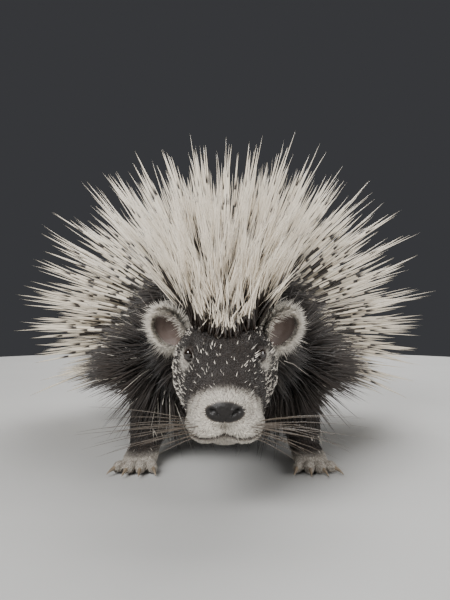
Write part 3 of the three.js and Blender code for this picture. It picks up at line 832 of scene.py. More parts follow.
def on_unwrap(p):
    """A place on the skin's unwrap: the angle round the body's middle line, and how far back
    the point lies. Each leg has a column of its own beside the body's, and the head its own
    band in front of it, so that no two parts share a place."""
    h, x, u = head_place(p)
    around = np.arctan2(p[:, 0], p[:, 2] - 168) / (2 * math.pi) + 0.5
    body = np.stack([0.02 + 0.58 * around, 0.3 + 0.66 * (p[:, 1] + 320) / 760], 1)
    face_round = np.arctan2(x, u + 2) / (2 * math.pi) + 0.5
    face = np.stack([0.02 + 0.58 * face_round, 0.02 + 0.26 * (h + 12) / 190], 1)
    hind = p[:, 1] > 0
    ankle_x = np.sign(p[:, 0]) * mix(106, 108, hind)
    ankle_y = np.where(hind, 200, -190)
    leg_round = np.arctan2(p[:, 0] - ankle_x, p[:, 1] - ankle_y) / (2 * math.pi) + 0.5
    column = 0.62 + 0.095 * (2 * hind + (p[:, 0] > 0))
    legs = np.stack([column + 0.085 * leg_round, 0.03 + 0.9 * np.clip(p[:, 2] / 130, 0, 1)], 1)
    place = np.where((on_head_mask(p) > 0.5)[:, None], face, body)
    return np.where((on_legs(p) > 0.5)[:, None], legs, place)


place = on_unwrap(SKIN_SURFACE[2])
print("the unwrap reaches from", place.min(0).round(2), "to", place.max(0).round(2))

# %% [markdown]
# A patch of coat draws its roots, turns each tuft a little off the lie, partly at random and
# partly with its neighbours, which makes locks, and stores what the materials need to know.

# %% Growing a patch of coat
STRAY, LOCKING = 0.14, 0.16
THINNEST = 0.4
OFF_FLOOR = 0.3


def draw_roots(surface, count, where):
    """Places over a surface, by area times where(p), and the way the skin faces there."""
    triangles, areas, middles, facing = surface
    weight = areas * where(middles)
    pick = rng.choice(len(areas), count, p=weight / weight.sum())
    a, b = np.sort(rng.random((2, count, 1)), axis=0)
    corner = triangles[pick]
    return corner[:, 0] * a + corner[:, 1] * (b - a) + corner[:, 2] * (1 - b), facing[pick]


def gathered(p):
    """A slow wave over the body that turns neighbouring tufts the same way, into locks."""
    turned = p @ np.array([[0.21, 0.13, -0.16], [-0.11, 0.17, 0.15], [0.14, -0.19, 0.12]])
    return np.sin(turned + [0.4, 2.1, 4.0]) + 0.6 * np.sin(2.3 * turned[:, [1, 2, 0]])


def grow_coat(name, count, where, shape, material, surface=SKIN_SURFACE, lie=lie_field,
              length_at=coat_length, mark_at=pale_mark_and_toe_highlight):
    """A coat piece of count tufts. shape gives half the width as a share of the length, the
    most that it may be, the slope at the root, how much of it is lost towards the tip, and
    the shares of the rings."""
    root, out = draw_roots(surface, count, where)
    way = lie(root, out) + STRAY * rng.normal(size=(count, 3)) + LOCKING * gathered(root)
    way = unit(laid_flat(way, out))
    fleck = rng.random(count) < fleck_share(root)
    full = length_at(root)
    length = full * rng.uniform(0.72, 1.18, count)
    half = np.clip(length * shape["half"], THINNEST, shape["widest"])
    half = half * rng.uniform(0.8, 1.25, count)
    longer = mix(1.7, 1.1, smooth(20, 50, full))
    slimmer = mix(0.8, 0.55, smooth(20, 50, full))
    length, half = length * np.where(fleck, longer, 1), half * np.where(fleck, slimmer, 1)
    slope = shape["slope"] * rng.uniform(0.6, 1.5, count) * (1 - 0.35 * on_legs(root))
    slope = slope * (1 + 0.9 * smooth(55, 90, length))
    points = blades(root, out, way, length, half, slope, shape["curl"], shape["rings"])
    per = points.shape[1]
    points = points.reshape(-1, 3)
    points[:, 2] = np.maximum(points[:, 2], OFF_FLOOR)
    along = np.tile([*np.repeat(shape["rings"], 3), 1.0], count)
    corner_u = np.tile([*np.tile([-0.5, 0, 0.5], len(shape["rings"])), 0.0], count)
    uv = np.repeat(on_unwrap(root), per, axis=0) + PATCH * np.stack([corner_u, along - 0.5], 1)
    values = {
        "along": along,
        "pale": np.repeat(mark_at(root), per),
        "fleck": np.repeat(fleck, per),
        "tone": np.repeat(rng.random(count), per),
    }
    piece = mesh_object(name, points, strand_faces(count, len(shape["rings"]), 3), values, uv)
    piece.data.materials.append(material)
    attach(piece, "root")
    print(name, count, "tufts,", len(piece.data.polygons), "triangles")


short = (coat < 12) @ SKIN_SURFACE[1] / SKIN_SURFACE[1].sum()
print(f"{100 * short:.0f}% of the skin has hair shorter than 12 mm")

# %% [markdown]
# Materials are built from nodes. These helpers each add one node, feed its inputs and hand
# back the output that the next node takes, so that a material reads as a short recipe.
# Colours are red, green and blue with a fourth number, 1, for opaque.

# %% Node helpers
def feed(tree, node, given):
    """Feeds each input of a node, by its label or number: a socket is linked, a value set."""
    for label, value in given.items():
        if isinstance(value, bpy.types.NodeSocket):
            tree.links.new(value, node.inputs[label])
        else:
            node.inputs[label].default_value = value


def colour_mix(tree, factor, a, b, blend="MIX"):
    """The colour a where the factor is 0 and b where it is 1."""
    node = tree.nodes.new("ShaderNodeMix")
    node.data_type, node.blend_type = "RGBA", blend
    feed(tree, node, {0: factor, 6: a, 7: b})
    return node.outputs[2]


def calculate(tree, operation, *given):
    """A math node on one or more sockets or numbers."""
    node = tree.nodes.new("ShaderNodeMath")
    node.operation = operation
    feed(tree, node, dict(enumerate(given)))
    return node.outputs[0]


def noise(tree, scale, detail=3.0, vector=None):
    """A noise texture's value, on Object coordinates unless a vector is given."""
    node = tree.nodes.new("ShaderNodeTexNoise")
    if vector is None:
        vector = tree.nodes.new("ShaderNodeTexCoord").outputs["Object"]
    feed(tree, node, {"Scale": scale, "Detail": detail, "Vector": vector})
    return node.outputs["Fac"]


def attribute(tree, name):
    """The number stored on the points under a name."""
    node = tree.nodes.new("ShaderNodeAttribute")
    node.attribute_name = name
    return node.outputs["Fac"]


def bumped(tree, height, strength, depth):
    """A normal that leans as a height says. depth is in metres."""
    node = tree.nodes.new("ShaderNodeBump")
    feed(tree, node, {"Height": height, "Strength": strength, "Distance": depth})
    return node.outputs["Normal"]


# %% Groups and materials
def new_group(name, numbers, colours, outputs):
    """An empty shader group with its inputs, and outputs of (label, kind), and its two ends."""
    group = bpy.data.node_groups.new(name, "ShaderNodeTree")
    inputs = [(label, "Float") for label in numbers] + [(label, "Color") for label in colours]
    for way, sockets in (("INPUT", inputs), ("OUTPUT", outputs)):
        for label, kind in sockets:
            group.interface.new_socket(label, in_out=way, socket_type="NodeSocket" + kind)
    return group, group.nodes.new("NodeGroupInput").outputs, group.nodes.new("NodeGroupOutput")


def placed(tree, group, given):
    """The outputs of a node group placed in a tree with these inputs."""
    node = tree.nodes.new("ShaderNodeGroup")
    node.node_tree = group
    feed(tree, node, given)
    return node.outputs


def new_material(name):
    """A node material, its tree and its Principled BSDF."""
    material = bpy.data.materials.new(name)
    material.use_nodes = True
    return material, material.node_tree, material.node_tree.nodes["Principled BSDF"]


# %% [markdown]
# All tufts share one look: nearly black at the root, browner and lighter to the tip, with
# every strand a little different. That effect is a node group, built once. It reads four
# numbers stored on the points: how far along the strand, how pale the marking is there (on the toes
# that pale is a painted highlight), whether the strand is one of the white-ended ones, and a random
# tone.

# %% Strand colour
STORED = ("Along", "Pale", "Tone", "Fleck")


def strand_group():
    """Root to tip colour, with pale markings and the painted highlight on the toes, light ends and a
    tone of each strand's own.
    """
    outputs = [("Color", "Color"), ("Roughness", "Float")]
    group, g, made = new_group("strand colour", STORED, ("Root", "Tip", "Pale Colour"), outputs)
    up_strand = calculate(group, "POWER", g["Along"], 1.6)
    plain = colour_mix(group, up_strand, g["Root"], g["Tip"])
    marked = colour_mix(group, g["Pale"], plain, g["Pale Colour"])
    end = calculate(group, "GREATER_THAN", g["Along"], 0.3)
    fleck = calculate(group, "MULTIPLY", g["Fleck"], end)
    flecked = colour_mix(group, fleck, marked, g["Pale Colour"])
    shade = calculate(group, "MULTIPLY_ADD", g["Tone"], 0.5, noise(group, 14.0))
    bright = calculate(group, "MULTIPLY_ADD", shade, 0.9, 0.32)
    grey = group.nodes.new("ShaderNodeCombineColor")
    feed(group, grey, {0: bright, 1: bright, 2: bright})
    varied = colour_mix(group, 1.0, flecked, grey.outputs[0], "MULTIPLY")
    rough = calculate(group, "MULTIPLY_ADD", g["Tone"], 0.2, 0.42)
    feed(group, made, {"Color": varied, "Roughness": rough})
    return group


STRAND = strand_group()
print("the strand colour takes", len(STRAND.nodes), "nodes")

# %% Materials of the coat
DARK_ROOT = (0.011, 0.008, 0.0065, 1)
IVORY = (0.66, 0.61, 0.53, 1)


def strand_material(name, tip):
    """A material that places the strand group with its own colour at the tip."""
    material, tree, shader = new_material(name)
    given = {label: attribute(tree, label.lower()) for label in STORED}
    given.update({"Root": DARK_ROOT, "Tip": tip, "Pale Colour": IVORY})
    strand = placed(tree, STRAND, given)
    feed(tree, shader, {"Base Color": strand["Color"], "Roughness": strand["Roughness"]})
    feed(tree, shader, {"Sheen Weight": 0.1, "Specular IOR Level": 0.3})
    return material


face_fur = strand_material("face bristles", (0.05, 0.036, 0.027, 1))
body_coat = strand_material("body bristles", (0.052, 0.037, 0.028, 1))
leg_fur = strand_material("leg bristles", (0.042, 0.031, 0.024, 1))
print("coat materials:", ", ".join(fur.name for fur in (face_fur, body_coat, leg_fur)))

# %% [markdown]
# The coat is grown in patches, each a piece of its own. Short hair needs many small tufts
# and long hair fewer large ones, so the number in each patch follows from the length there.

# %% Where each patch grows
SHORT = {"half": 0.085, "widest": 1.3, "slope": 0.4, "curl": 0.74, "rings": (0.0, 0.45)}
LONG = {"half": 0.02, "widest": 1.15, "slope": 0.27, "curl": 0.45, "rings": (0.0, 0.42)}


def region(p):
    """Where each patch grows: masks that add up to one all over the body."""
    in_legs, in_head = on_legs(p), on_head_mask(p)
    body = (1 - in_legs) * (1 - in_head)
    front = 1 - smooth(-175, -105, p[:, 1])
    top = smooth(150, 210, p[:, 2])
    return {
        "legs": in_legs,
        "head": (1 - in_legs) * in_head,
        "neck": body * front,
        "flanks": body * (1 - front) * (1 - top),
        "back": body * (1 - front) * top,
    }


def nose_pad(p):
    """1 on the bare pad of the nose, an oval at the front of the muzzle, 0 elsewhere."""
    h, x, u = head_place(p)
    oval = (x / 20) ** 2 + ((u - 15) / 10.5) ** 2
    return (1 - smooth(6, 13, h)) * (1 - smooth(0.8, 1.25, oval))


def hairy(p):
    """0 on the nose pad, on the lips, inside the eye sockets and under the soles, else 1."""
    lips = smooth(2.6, 3.4, mouth_distance(p))
    return (1 - nose_pad(p)) * lips * smooth(8.6, 10.6, eye_distance(p)) * (p[:, 2] > 2.5)


def even(p):
    """As many tufts everywhere."""
    return 1.0


def denser_in_front(p):
    """More and smaller tufts where the face's hair is shortest, also round the eyes."""
    near_eye = 3.5 * (1 - smooth(14, 24, eye_distance(p)))
    return 1 + 2.5 * (1 - smooth(20, 90, head_place(p)[0])) + near_eye


def lower_is_denser(p):
    """More tufts on the feet, where they are small."""
    return 1 + 4 * (1 - smooth(20, 60, p[:, 2]))


masks = region(SKIN_SURFACE[2])
areas = {name: round(mask @ SKIN_SURFACE[1] / 100) for name, mask in masks.items()}
print("square centimetres of", areas)

# %% The coat's patches
SIDES = (("left", 1), ("right", -1))


def weight_of(place, denser, side=None):
    """A patch's weight: its region, bare spots left out, on one side or on both."""
    def weight(p):
        half = 1.0 if side is None else (p[:, 0] * side > 0)
        return region(p)[place] * hairy(p) * half * denser(p)
    return weight


def grow_pair(name, count, place, denser, shape, material):
    """The same patch on both sides of the body."""
    for word, side in SIDES:
        grow_coat(f"{name}_{word}", count, weight_of(place, denser, side), shape, material)


grow_pair("face", 17000, "head", denser_in_front, SHORT, face_fur)
grow_pair("neck", 15500, "neck", even, LONG, body_coat)
grow_pair("flank", 15500, "flanks", even, LONG, body_coat)
grow_coat("back_coat", 11000, weight_of("back", even), LONG, body_coat)
grow_pair("leg_coat", 14000, "legs", lower_is_denser, SHORT, leg_fur)

# %% [markdown]
# The hide shows between the bristles, on the nose pad, on the lips and under the feet. It is
# dark grey-brown with a fine pebbled grain, and black and moist on the nose. It carries the
# same markings and the same painted highlight on the toes as the coat, so that no other colour shines
# through.

# %% Skin grain
def grain_group():
    """Pebbled skin: a height from round cells with soft wrinkles over them."""
    group, g, made = new_group("skin grain", ("Scale", "Wrinkles"), (), [("Height", "Float")])
    where = group.nodes.new("ShaderNodeTexCoord").outputs["Object"]
    cells = group.nodes.new("ShaderNodeTexVoronoi")
    cells.feature = "SMOOTH_F1"
    feed(group, cells, {"Vector": where, "Scale": g["Scale"]})
    folded = calculate(group, "MULTIPLY", noise(group, 260.0, 4.0, where), g["Wrinkles"])
    feed(group, made, {"Height": calculate(group, "ADD", cells.outputs["Distance"], folded)})
    return group


GRAIN = grain_group()
print("the skin's grain takes", len(GRAIN.nodes), "nodes")

# %% Hide
WET_BLACK = (0.009, 0.007, 0.006, 1)


def hide_material(name, dark, light, pale=IVORY):
    """Bare or nearly bare skin: two browns mixed in patches, paler where it is marked and on the toes,
    where the pale is a painted highlight, and nearly black and moist where the stored number for the
    nose is 1."""
    material, tree, shader = new_material(name)
    height = placed(tree, GRAIN, {"Scale": 700.0, "Wrinkles": 0.6})["Height"]
    patches = colour_mix(tree, noise(tree, 30.0), dark, light)
    marked = colour_mix(tree, attribute(tree, "pale"), patches, pale)
    moist = attribute(tree, "nose")
    rough = calculate(tree, "MULTIPLY_ADD", height, 0.25, 0.4)
    smoother = calculate(tree, "MULTIPLY_ADD", moist, -0.16, rough)
    darkened = colour_mix(tree, moist, marked, WET_BLACK)
    normal = bumped(tree, height, 0.5, 0.0006)
    feed(tree, shader, {"Base Color": darkened, "Roughness": smoother, "Normal": normal})
    return material


hide = hide_material("hide", (0.016, 0.012, 0.01, 1), (0.045, 0.032, 0.026, 1), (0.34, 0.3, 0.255, 1))
skin.data.materials.append(hide)
skin_points = mesh_points(skin)[0]
# The pale number carries the markings and the painted highlight on the toes.
marks = {"pale": pale_mark_and_toe_highlight(skin_points) * hairy(skin_points), "nose": nose_pad(skin_points)}
for key, numbers in marks.items():
    layer = skin.data.attributes.new(key, "FLOAT", "POINT")
    layer.data.foreach_set("value", numbers.astype(np.float32))
skin.data.polygons.foreach_set("use_smooth", np.full(len(skin.data.polygons), True))
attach(skin, "root")
FLESH = ["torso", "neck", "head", "tail"]
FLESH += [f"{pair}leg_{side}" for pair in ("fore", "hind") for side in ("left", "right")]
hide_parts(*FLESH)
print("one skin in place of", len(FLESH), "solids")

# %% [markdown]
# A quill is a hollow horn spindle: narrow at its root, thickest at a third of its length,
# then a long even taper to a sharp tip. It is a profile carried along a gently bent line,
# six sides round, which is enough at its few millimetres. Each quill stores how far along it
# a point is, so that the dark and white bands follow the quill wherever it points.

# %% Spindles
PROFILE_AT = np.array([0.0, 0.12, 0.34, 0.66, 0.9])
PROFILE = np.array([0.4, 0.8, 1.0, 0.74, 0.3])


def spindles(root, way, length, girth, bend, sides=6, at=PROFILE_AT, profile=PROFILE):
    """Points of the spindles: root + way·L·t + bend·L·t², with a ring of the profile's size
    times the girth at each share, then the tip."""
    across = unit(np.cross(way, np.array([0.31, 0.2, 0.93])))
    other = np.cross(way, across)
    t = np.append(at, 1.0)[None, :, None]
    size = length[:, None, None]
    line = root[:, None] + way[:, None] * size * t + bend[:, None] * size * t**2
    angle = np.linspace(0, 2 * math.pi, sides, endpoint=False)
    ring = across[:, None] * np.cos(angle)[:, None] + other[:, None] * np.sin(angle)[:, None]
    wide = (girth[:, None] * profile)[:, :, None, None]
    rings = line[:, :-1, None] + ring[:, None] * wide
    return np.concatenate([rings.reshape(len(root), -1, 3), line[:, -1:]], 1)


print("a quill has", len(strand_faces(1, len(PROFILE), 6)), "triangles, and is thickest at",
      PROFILE_AT[PROFILE.argmax()], "of its length")

# %% Growing quills
def grow_quills(name, root, way, length, girth, bend, place, patch, material,
                sides=6, at=PROFILE_AT, profile=PROFILE):
    """A piece of many spindles. place is each one's corner on the unwrap and patch its size
    there, with the length of the quill laid along v."""
    points = spindles(root, way, length, girth, bend, sides, at, profile)
    count, per = points.shape[:2]
    along = np.tile([*np.repeat(at, sides), 1.0], count)
    round_u = np.tile([*np.tile(np.linspace(0, 0.9, sides), len(at)), 0.45], count)
    uv = np.repeat(place, per, axis=0) + np.stack([round_u * patch[0], along * patch[1]], 1)
    values = {"along": along, "tone": np.repeat(rng.random(count), per)}
    faces = strand_faces(count, len(at), sides)
    piece = mesh_object(name, points.reshape(-1, 3), faces, values, uv)
    piece.data.materials.append(material)
    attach(piece, "root")
    print(name, count, "quills,", len(piece.data.polygons), "triangles")


def tilt(way, amount):
    """Each direction turned a little at random."""
    return unit(way + amount * rng.normal(size=way.shape))


# %% [markdown]
# The quills stand in staggered rows over the back. From shoulders to rump they lean further
# and further back, and from the middle line to the sides they fan out with the skin's own
# angle: seen from the front, that is the halo in the picture. There it has two dozen points,
# so quills that fan out at nearly the same angle gather a little towards one line. The
# thick banded ones carry the pattern, and the slender, mostly white ones stand out past them.
# A third set thickens the fan low at the sides, where it spreads out beside the ruff.

# %% Where the quills grow
QUILL_FROM, QUILL_TO = 0.22, 0.93
QUILL_LENGTH = 325
SHEAVES = 25
SHEAF_ANGLE = math.radians(224 / SHEAVES)
LEAN_FROM, LEAN_TO = 8, 66
SPREAD, LESS_OVER_LEGS, LESS_OVER_SHOULDERS = 114, 28, 32


def fanned(angle, lean):
    """The way up, turned out to the side by an angle and back by a lean."""
    return np.stack([np.sin(angle) * np.cos(lean), np.sin(lean), np.cos(angle) * np.cos(lean)], 1)


def quill_field(along, across, gather):
    """Root, direction and full length at a share along the back and across it. The length is
    a half wave from shoulders to rump, a little less at the middle line than beside it. The
    angle is drawn to its sheaf's middle by a sine, and between sheaves quills are shorter."""
    share = mix(QUILL_FROM, QUILL_TO, along)
    widest = SPREAD - LESS_OVER_LEGS * smooth(0.4, 0.62, along)
    widest = widest - LESS_OVER_SHOULDERS * (1 - smooth(0, 0.16, along))
    angle = across * np.radians(widest)
    root = torso.at(share, angle, -COAT_DEPTH - 2)
    lean = np.radians(mix(LEAN_FROM, LEAN_TO, along**1.3) + 4 * np.abs(across))
    phase = 2 * math.pi * angle / SHEAF_ANGLE
    gather = gather * (1 - 0.7 * smooth(0.45, 0.85, along))
    way = fanned(angle - gather * SHEAF_ANGLE * 0.26 * np.sin(phase), lean)
    by_place = np.sin(mix(0.16, 0.86, along**0.8) * math.pi) ** 0.8
    low = smooth(0.72, 1, np.abs(across))
    sides = 0.91 + 0.09 * np.sin(np.abs(across) * math.pi * 0.7)
    middle = 1 - 0.13 * gather * (1 - np.cos(phase))
    return root, way, QUILL_LENGTH * by_place * (sides - 0.08 * low) * middle


def staggered(rows, columns):
    """Shares along and across for staggered rows, each place strayed a little."""
    r, c = np.indices((rows, columns)).reshape(2, -1)
    along = (r + rng.uniform(-0.4, 0.4, r.size)) / (rows - 1)
    across = 2 * (c + 0.25 + 0.5 * (r % 2) + rng.uniform(-0.35, 0.35, r.size)) / columns - 1
    return np.clip(along, 0, 1), np.clip(across, -1, 1), r, c


shares = np.indices((21, 41)).reshape(2, -1) / [[20], [40]]
full = quill_field(shares[0], 2 * shares[1] - 1, 0.0)[2]
print("full length of the quills", round(full.min()), "to", round(full.max()), "mm")

# %% [markdown]
# Horn is banded in dark brown and ivory. The bands are a wave along the quill, ivory near
# the root and at the tip, and each quill's own tone shifts them, so that they don't line up.
# The same group gives the pale quills, the crest and the whiskers with other numbers.

# %% Banded horn
BAND_EDGE = 4.0
END_EDGE = 18.0
HORN_BROWN = (0.02, 0.013, 0.009, 1)


def bands_group():
    """Ivory before the first dark and after the last dark, and bands of a sine between them,
    all steep at their edges and shifted by each quill's tone, under a faint stain."""
    numbers = ("Along", "Tone", "First Dark", "Last Dark", "Stray", "Bands", "Lightness")
    colours = ("Dark", "Ivory")
    group, g, made = new_group("quill bands", numbers, colours, [("Color", "Color")])
    shift = calculate(group, "MULTIPLY_ADD", g["Tone"], g["Stray"], g["Along"])
    turns = calculate(group, "MULTIPLY", shift, g["Bands"])
    wave = calculate(group, "SINE", calculate(group, "MULTIPLY", turns, 2 * math.pi))
    edged = calculate(group, "MULTIPLY_ADD", wave, BAND_EDGE, g["Lightness"])
    past_last = calculate(group, "SUBTRACT", shift, g["Last Dark"])
    before_first = calculate(group, "SUBTRACT", g["First Dark"], shift)
    after = calculate(group, "MULTIPLY", past_last, END_EDGE)
    before = calculate(group, "MULTIPLY", before_first, END_EDGE)
    plain = calculate(group, "MAXIMUM", after, before)
    raw = calculate(group, "MAXIMUM", edged, plain)
    clamp = group.nodes.new("ShaderNodeClamp")
    group.links.new(raw, clamp.inputs["Value"])
    colour = colour_mix(group, clamp.outputs[0], g["Dark"], g["Ivory"])
    stain = colour_mix(group, noise(group, 55.0), (1, 0.93, 0.82, 1), (0.8, 0.72, 0.6, 1))
    feed(group, made, {"Color": colour_mix(group, 0.8, colour, stain, "MULTIPLY")})
    return group


BANDS = bands_group()


def quill_material(name, ivory, first_dark, last_dark, bands, stray=0.1, lightness=0.3):
    """Glossy horn with its bands, a little rougher in spots."""
    material, tree, shader = new_material(name)
    given = {"Along": attribute(tree, "along"), "Tone": attribute(tree, "tone")}
    given.update({"First Dark": first_dark, "Last Dark": last_dark, "Bands": bands})
    given.update({"Stray": stray, "Lightness": lightness, "Dark": HORN_BROWN, "Ivory": ivory})
    rough = calculate(tree, "MULTIPLY_ADD", noise(tree, 300.0), 0.2, 0.26)
    feed(tree, shader, {"Base Color": placed(tree, BANDS, given)["Color"], "Roughness": rough})
    return material


banded = quill_material(
    "banded quills", (0.84, 0.8, 0.72, 1), first_dark=0.12, last_dark=0.76, bands=3.4,
    stray=0.12, lightness=-0.1)
pale = quill_material(
    "pale quills", (0.88, 0.85, 0.79, 1), first_dark=0.06, last_dark=0.4, bands=2.4, stray=0.16)
print("banded horn takes", len(BANDS.nodes), "nodes")

# %% The back's quills
def quill_set(name, field, rows, columns, patch, stray, reach, girth, wander, sag, material):
    """Quills in staggered rows over a field, strayed a little. reach is the least and most
    share of the full length, girth the least and most radius, and wander and sag bend them.
    patch is how many places of their size the unwrap has across and along."""
    along, across, row, column = staggered(rows, columns)
    root, way, length = field(along, across)
    place = np.stack([column / columns, row / rows], 1)
    count = len(root)
    grow_quills(
        name, root, tilt(way, stray), length * rng.uniform(*reach, count),
        rng.uniform(*girth, count), wander * rng.normal(size=root.shape) + [0, sag, 0],
        place, (1 / patch[0], 1 / patch[1]), material)


def loosely(along, across):
    """The back's field, gathered a little less into sheaves."""
    return quill_field(along, across, 0.8)


def closely(along, across):
    """The back's field, fully gathered into sheaves."""
    return quill_field(along, across, 1.0)


def low_sides(along, across):
    """The front part of the back's field, low at both sides."""
    return closely(mix(0.08, 0.45, along), np.sign(across) * mix(0.7, 1.0, np.abs(across)))


quill_set(
    "banded_quills", loosely, rows=27, columns=36, patch=(44, 31), stray=0.025,
    reach=(0.7, 0.99), girth=(2.3, 3.5), wander=0.03, sag=0.03, material=banded)
quill_set(
    "pale_quills", closely, rows=22, columns=34, patch=(40, 26), stray=0.022,
    reach=(0.82, 1.03), girth=(1.2, 1.8), wander=0.03, sag=0.05, material=pale)
quill_set(
    "side_quills", low_sides, rows=10, columns=14, patch=(17, 12), stray=0.02,
    reach=(0.85, 1.04), girth=(1.8, 2.8), wander=0.03, sag=0, material=banded)

# %% The tail's quills
def tail_field(along, across):
    """The short quills round the tail's sides and end."""
    angle = across * math.radians(125)
    root = tail.at(mix(0.42, 0.92, along), angle, -4)
    opened = np.radians(mix(50, 16, along))
    way = np.stack([np.sin(angle) * np.sin(opened), np.cos(opened), np.cos(angle) * np.sin(opened)], 1)
    return root, unit(way), mix(68, 92, along)


quill_set(
    "tail_quills", tail_field, rows=10, columns=18, patch=(22, 12), stray=0.08,
    reach=(0.7, 1.0), girth=(1.1, 1.9), wander=0.05, sag=0, material=pale)

# %% [markdown]
# The crest is a mane of long flexible bristles from the brow to the shoulders. They stand
# up together in locks and bend over backwards near their tips. The bristles of a lock start
# apart and lean in to one tip, which gives the pointed white flames of the picture.

# %% The crest's field
CREST_LENGTH = 205
CREST_AT = np.array([0.0, 0.12, 0.35, 0.6, 0.8, 0.93])
CREST_PROFILE = np.array([0.8, 1.0, 0.85, 0.62, 0.4, 0.2])


def crest_field(form, shares, lengths, leans, widths, along, across):
    """Root, direction and length of the crest over one form, fanned to both sides. It is
    narrow at the brow and widens backwards, in the V of the picture."""
    spread = across * np.radians(mix(*widths, along))
    back = 0.1 * np.abs(across) * (1 - along) * (form is head)
    root = form.at(mix(*shares, along) + back, spread, -COAT_DEPTH - 3)
    way = fanned(spread * 0.85, np.radians(mix(*leans, along)))
    return root, way, mix(*lengths, along)


CRESTS = [
    (head, (0.45, 0.88), (0.14 * CREST_LENGTH, 0.74 * CREST_LENGTH), (-24, -12), (14, 42), 9),
    (neck, (0.2, 0.74), (0.74 * CREST_LENGTH, 0.97 * CREST_LENGTH), (-10, 0), (42, 46), 8),
    (torso, (0.12, 0.26), (0.97 * CREST_LENGTH, CREST_LENGTH), (2, 8), (46, 48), 4),
]
print("the crest stands in", sum(row[-1] for row in CRESTS), "rows over", len(CRESTS), "forms")

# %% Crest
LOCK = 24
LOCK_COLUMNS = 6
ACROSS_UNWRAP = 40
parts = []
for form, shares, lengths, leans, widths, rows in CRESTS:
    along, across, _, _ = staggered(rows, LOCK_COLUMNS)
    parts.append(crest_field(form, shares, lengths, leans, widths, along, across))
root, way, length = (np.concatenate([part[k] for part in parts]) for k in range(3))
locks = len(root)
length = length * rng.uniform(0.86, 1.03, locks)
root, way, length = (np.repeat(k, LOCK, axis=0) for k in (root, tilt(way, 0.07), length))
lock_tip = root + way * length[:, None]
root = root + rng.normal(size=root.shape) * [6.5, 7.5, 1.5]
way = tilt(unit(lock_tip - root), 0.02)
length = length * rng.uniform(0.6, 1.0, len(length))
bend = np.repeat(rng.normal(size=(locks, 3)) * 0.07 + [0, 0.2, 0], LOCK, axis=0)
bend = bend + rng.normal(size=root.shape) * 0.02
number = np.arange(len(root))
unwrap_rows = len(root) / ACROSS_UNWRAP + 1
column, row = number % ACROSS_UNWRAP, number // ACROSS_UNWRAP
place = np.stack([column / ACROSS_UNWRAP, row / unwrap_rows], 1)
crest_hair = quill_material(
    "crest bristles", (0.85, 0.81, 0.74, 1), first_dark=0.0, last_dark=0.62, bands=0.0,
    stray=0.28, lightness=0.0)
grow_quills(
    "crest", root, way, length, rng.uniform(0.75, 1.15, len(root)), bend, place,
    (1 / 48, 0.8 / unwrap_rows), crest_hair, 4, CREST_AT, CREST_PROFILE)

# %% [markdown]
# The eyes are small, dark and wet. Each is a ball with a slightly raised cornea, set as deep
# as the solid's own eye, with a thick upper lid and a thinner lower one around it. The lids
# are a band that starts inside the opening, rolls over its edge and runs out into the skin.

# %% The eye's directions and its ball
CORNEA_RISE = 0.5


def eye_axes(side):
    """Where the eye looks, a little more forwards than the skin faces there, with the way
    to the nose and up across it."""
    out = unit(head_normal(EYE_SHARE, EYE_ANGLE * side) + 0.6 * HEADWARDS)
    forward = unit(HEADWARDS - out * (HEADWARDS @ out))
    upper = np.cross(forward, out) * side
    return out, forward, upper * (1 if upper[2] > 0 else -1)


def round_eye(side, theta, phi):
    """The ways that lie an angle theta off the eye's axis, turned by phi round it."""
    out, forward, upper = eye_axes(side)
    return out * np.cos(theta) + (forward * np.cos(phi) + upper * np.sin(phi)) * np.sin(theta)


def eye_ball(side, rings=36, sides=40):
    """A sphere of the eye's radius. The cornea stands higher, up to 40° off its axis."""
    theta = np.linspace(0.03, math.pi - 0.03, rings)[:, None, None]
    phi = np.linspace(0, 2 * math.pi, sides, endpoint=False)[None, :, None]
    radius = EYE_RADIUS + CORNEA_RISE * (1 - smooth(0.35, 0.7, theta))
    ways = round_eye(side, theta, phi)
    return closed_grid(eye_centre(side) + radius * ways)


print("the left eye looks along", eye_axes(1)[0].round(2))

# %% Lids
LID_EDGE, LID_CORNER = 44, 70


def lid_band(side, sides=64):
    """The lids in polar terms round the eye's axis. The band's profile, from the inside of
    the opening to under the skin, is given by its angle off the axis and its distance from
    the eye's centre. The opening is an almond: its edges lie LID_EDGE degrees off the axis
    and its corners LID_CORNER, blended by the third power of the cosine round it."""
    phi = np.linspace(0, 2 * math.pi, sides, endpoint=False)[None, :, None]
    lifted = np.sin(phi)
    opening = np.radians(mix(LID_EDGE, LID_CORNER, np.abs(np.cos(phi)) ** 3))
    thick = 0.7 + 0.6 * np.maximum(lifted, 0)
    step = np.array([-0.02, 0.0, 0.05, 0.12, 0.22, 0.34, 0.48, 0.7, 0.95, 1.2])[:, None, None]
    rise = np.array([0.0, 0.35, 0.9, 1.1, 0.7, 0.15, 0.55, 0.1, -0.9, -2.2])[:, None, None]
    theta = opening + step
    radius = EYE_RADIUS * 0.985 + thick * 1.5 * rise + 3.4 * np.maximum(step - 0.1, 0)
    ways = round_eye(side, theta, phi)
    band = eye_centre(side) + radius * ways
    inner = eye_centre(side) + (radius - 2.2) * ways
    grid = np.concatenate([band, inner[::-1]])
    return grid.reshape(-1, 3), tube_faces(len(grid), sides, wrap_rings=True)


print("each eye's lids have", 2 * len(lid_band(1)[1]), "triangles")

# %% Eyes
def eye_material():
    """Almost black, with a speckle of dark brown that is only seen in strong light."""
    material, tree, shader = new_material("eye gloss")
    speckle = noise(tree, 900.0, 4.0)
    colour = colour_mix(tree, speckle, (0.004, 0.003, 0.002, 1), (0.022, 0.012, 0.007, 1))
    rough = calculate(tree, "MULTIPLY_ADD", speckle, 0.05, 0.03)
    feed(tree, shader, {"Base Color": colour, "Roughness": rough})
    feed(tree, shader, {"Coat Weight": 1.0, "Coat Roughness": 0.02})
    return material


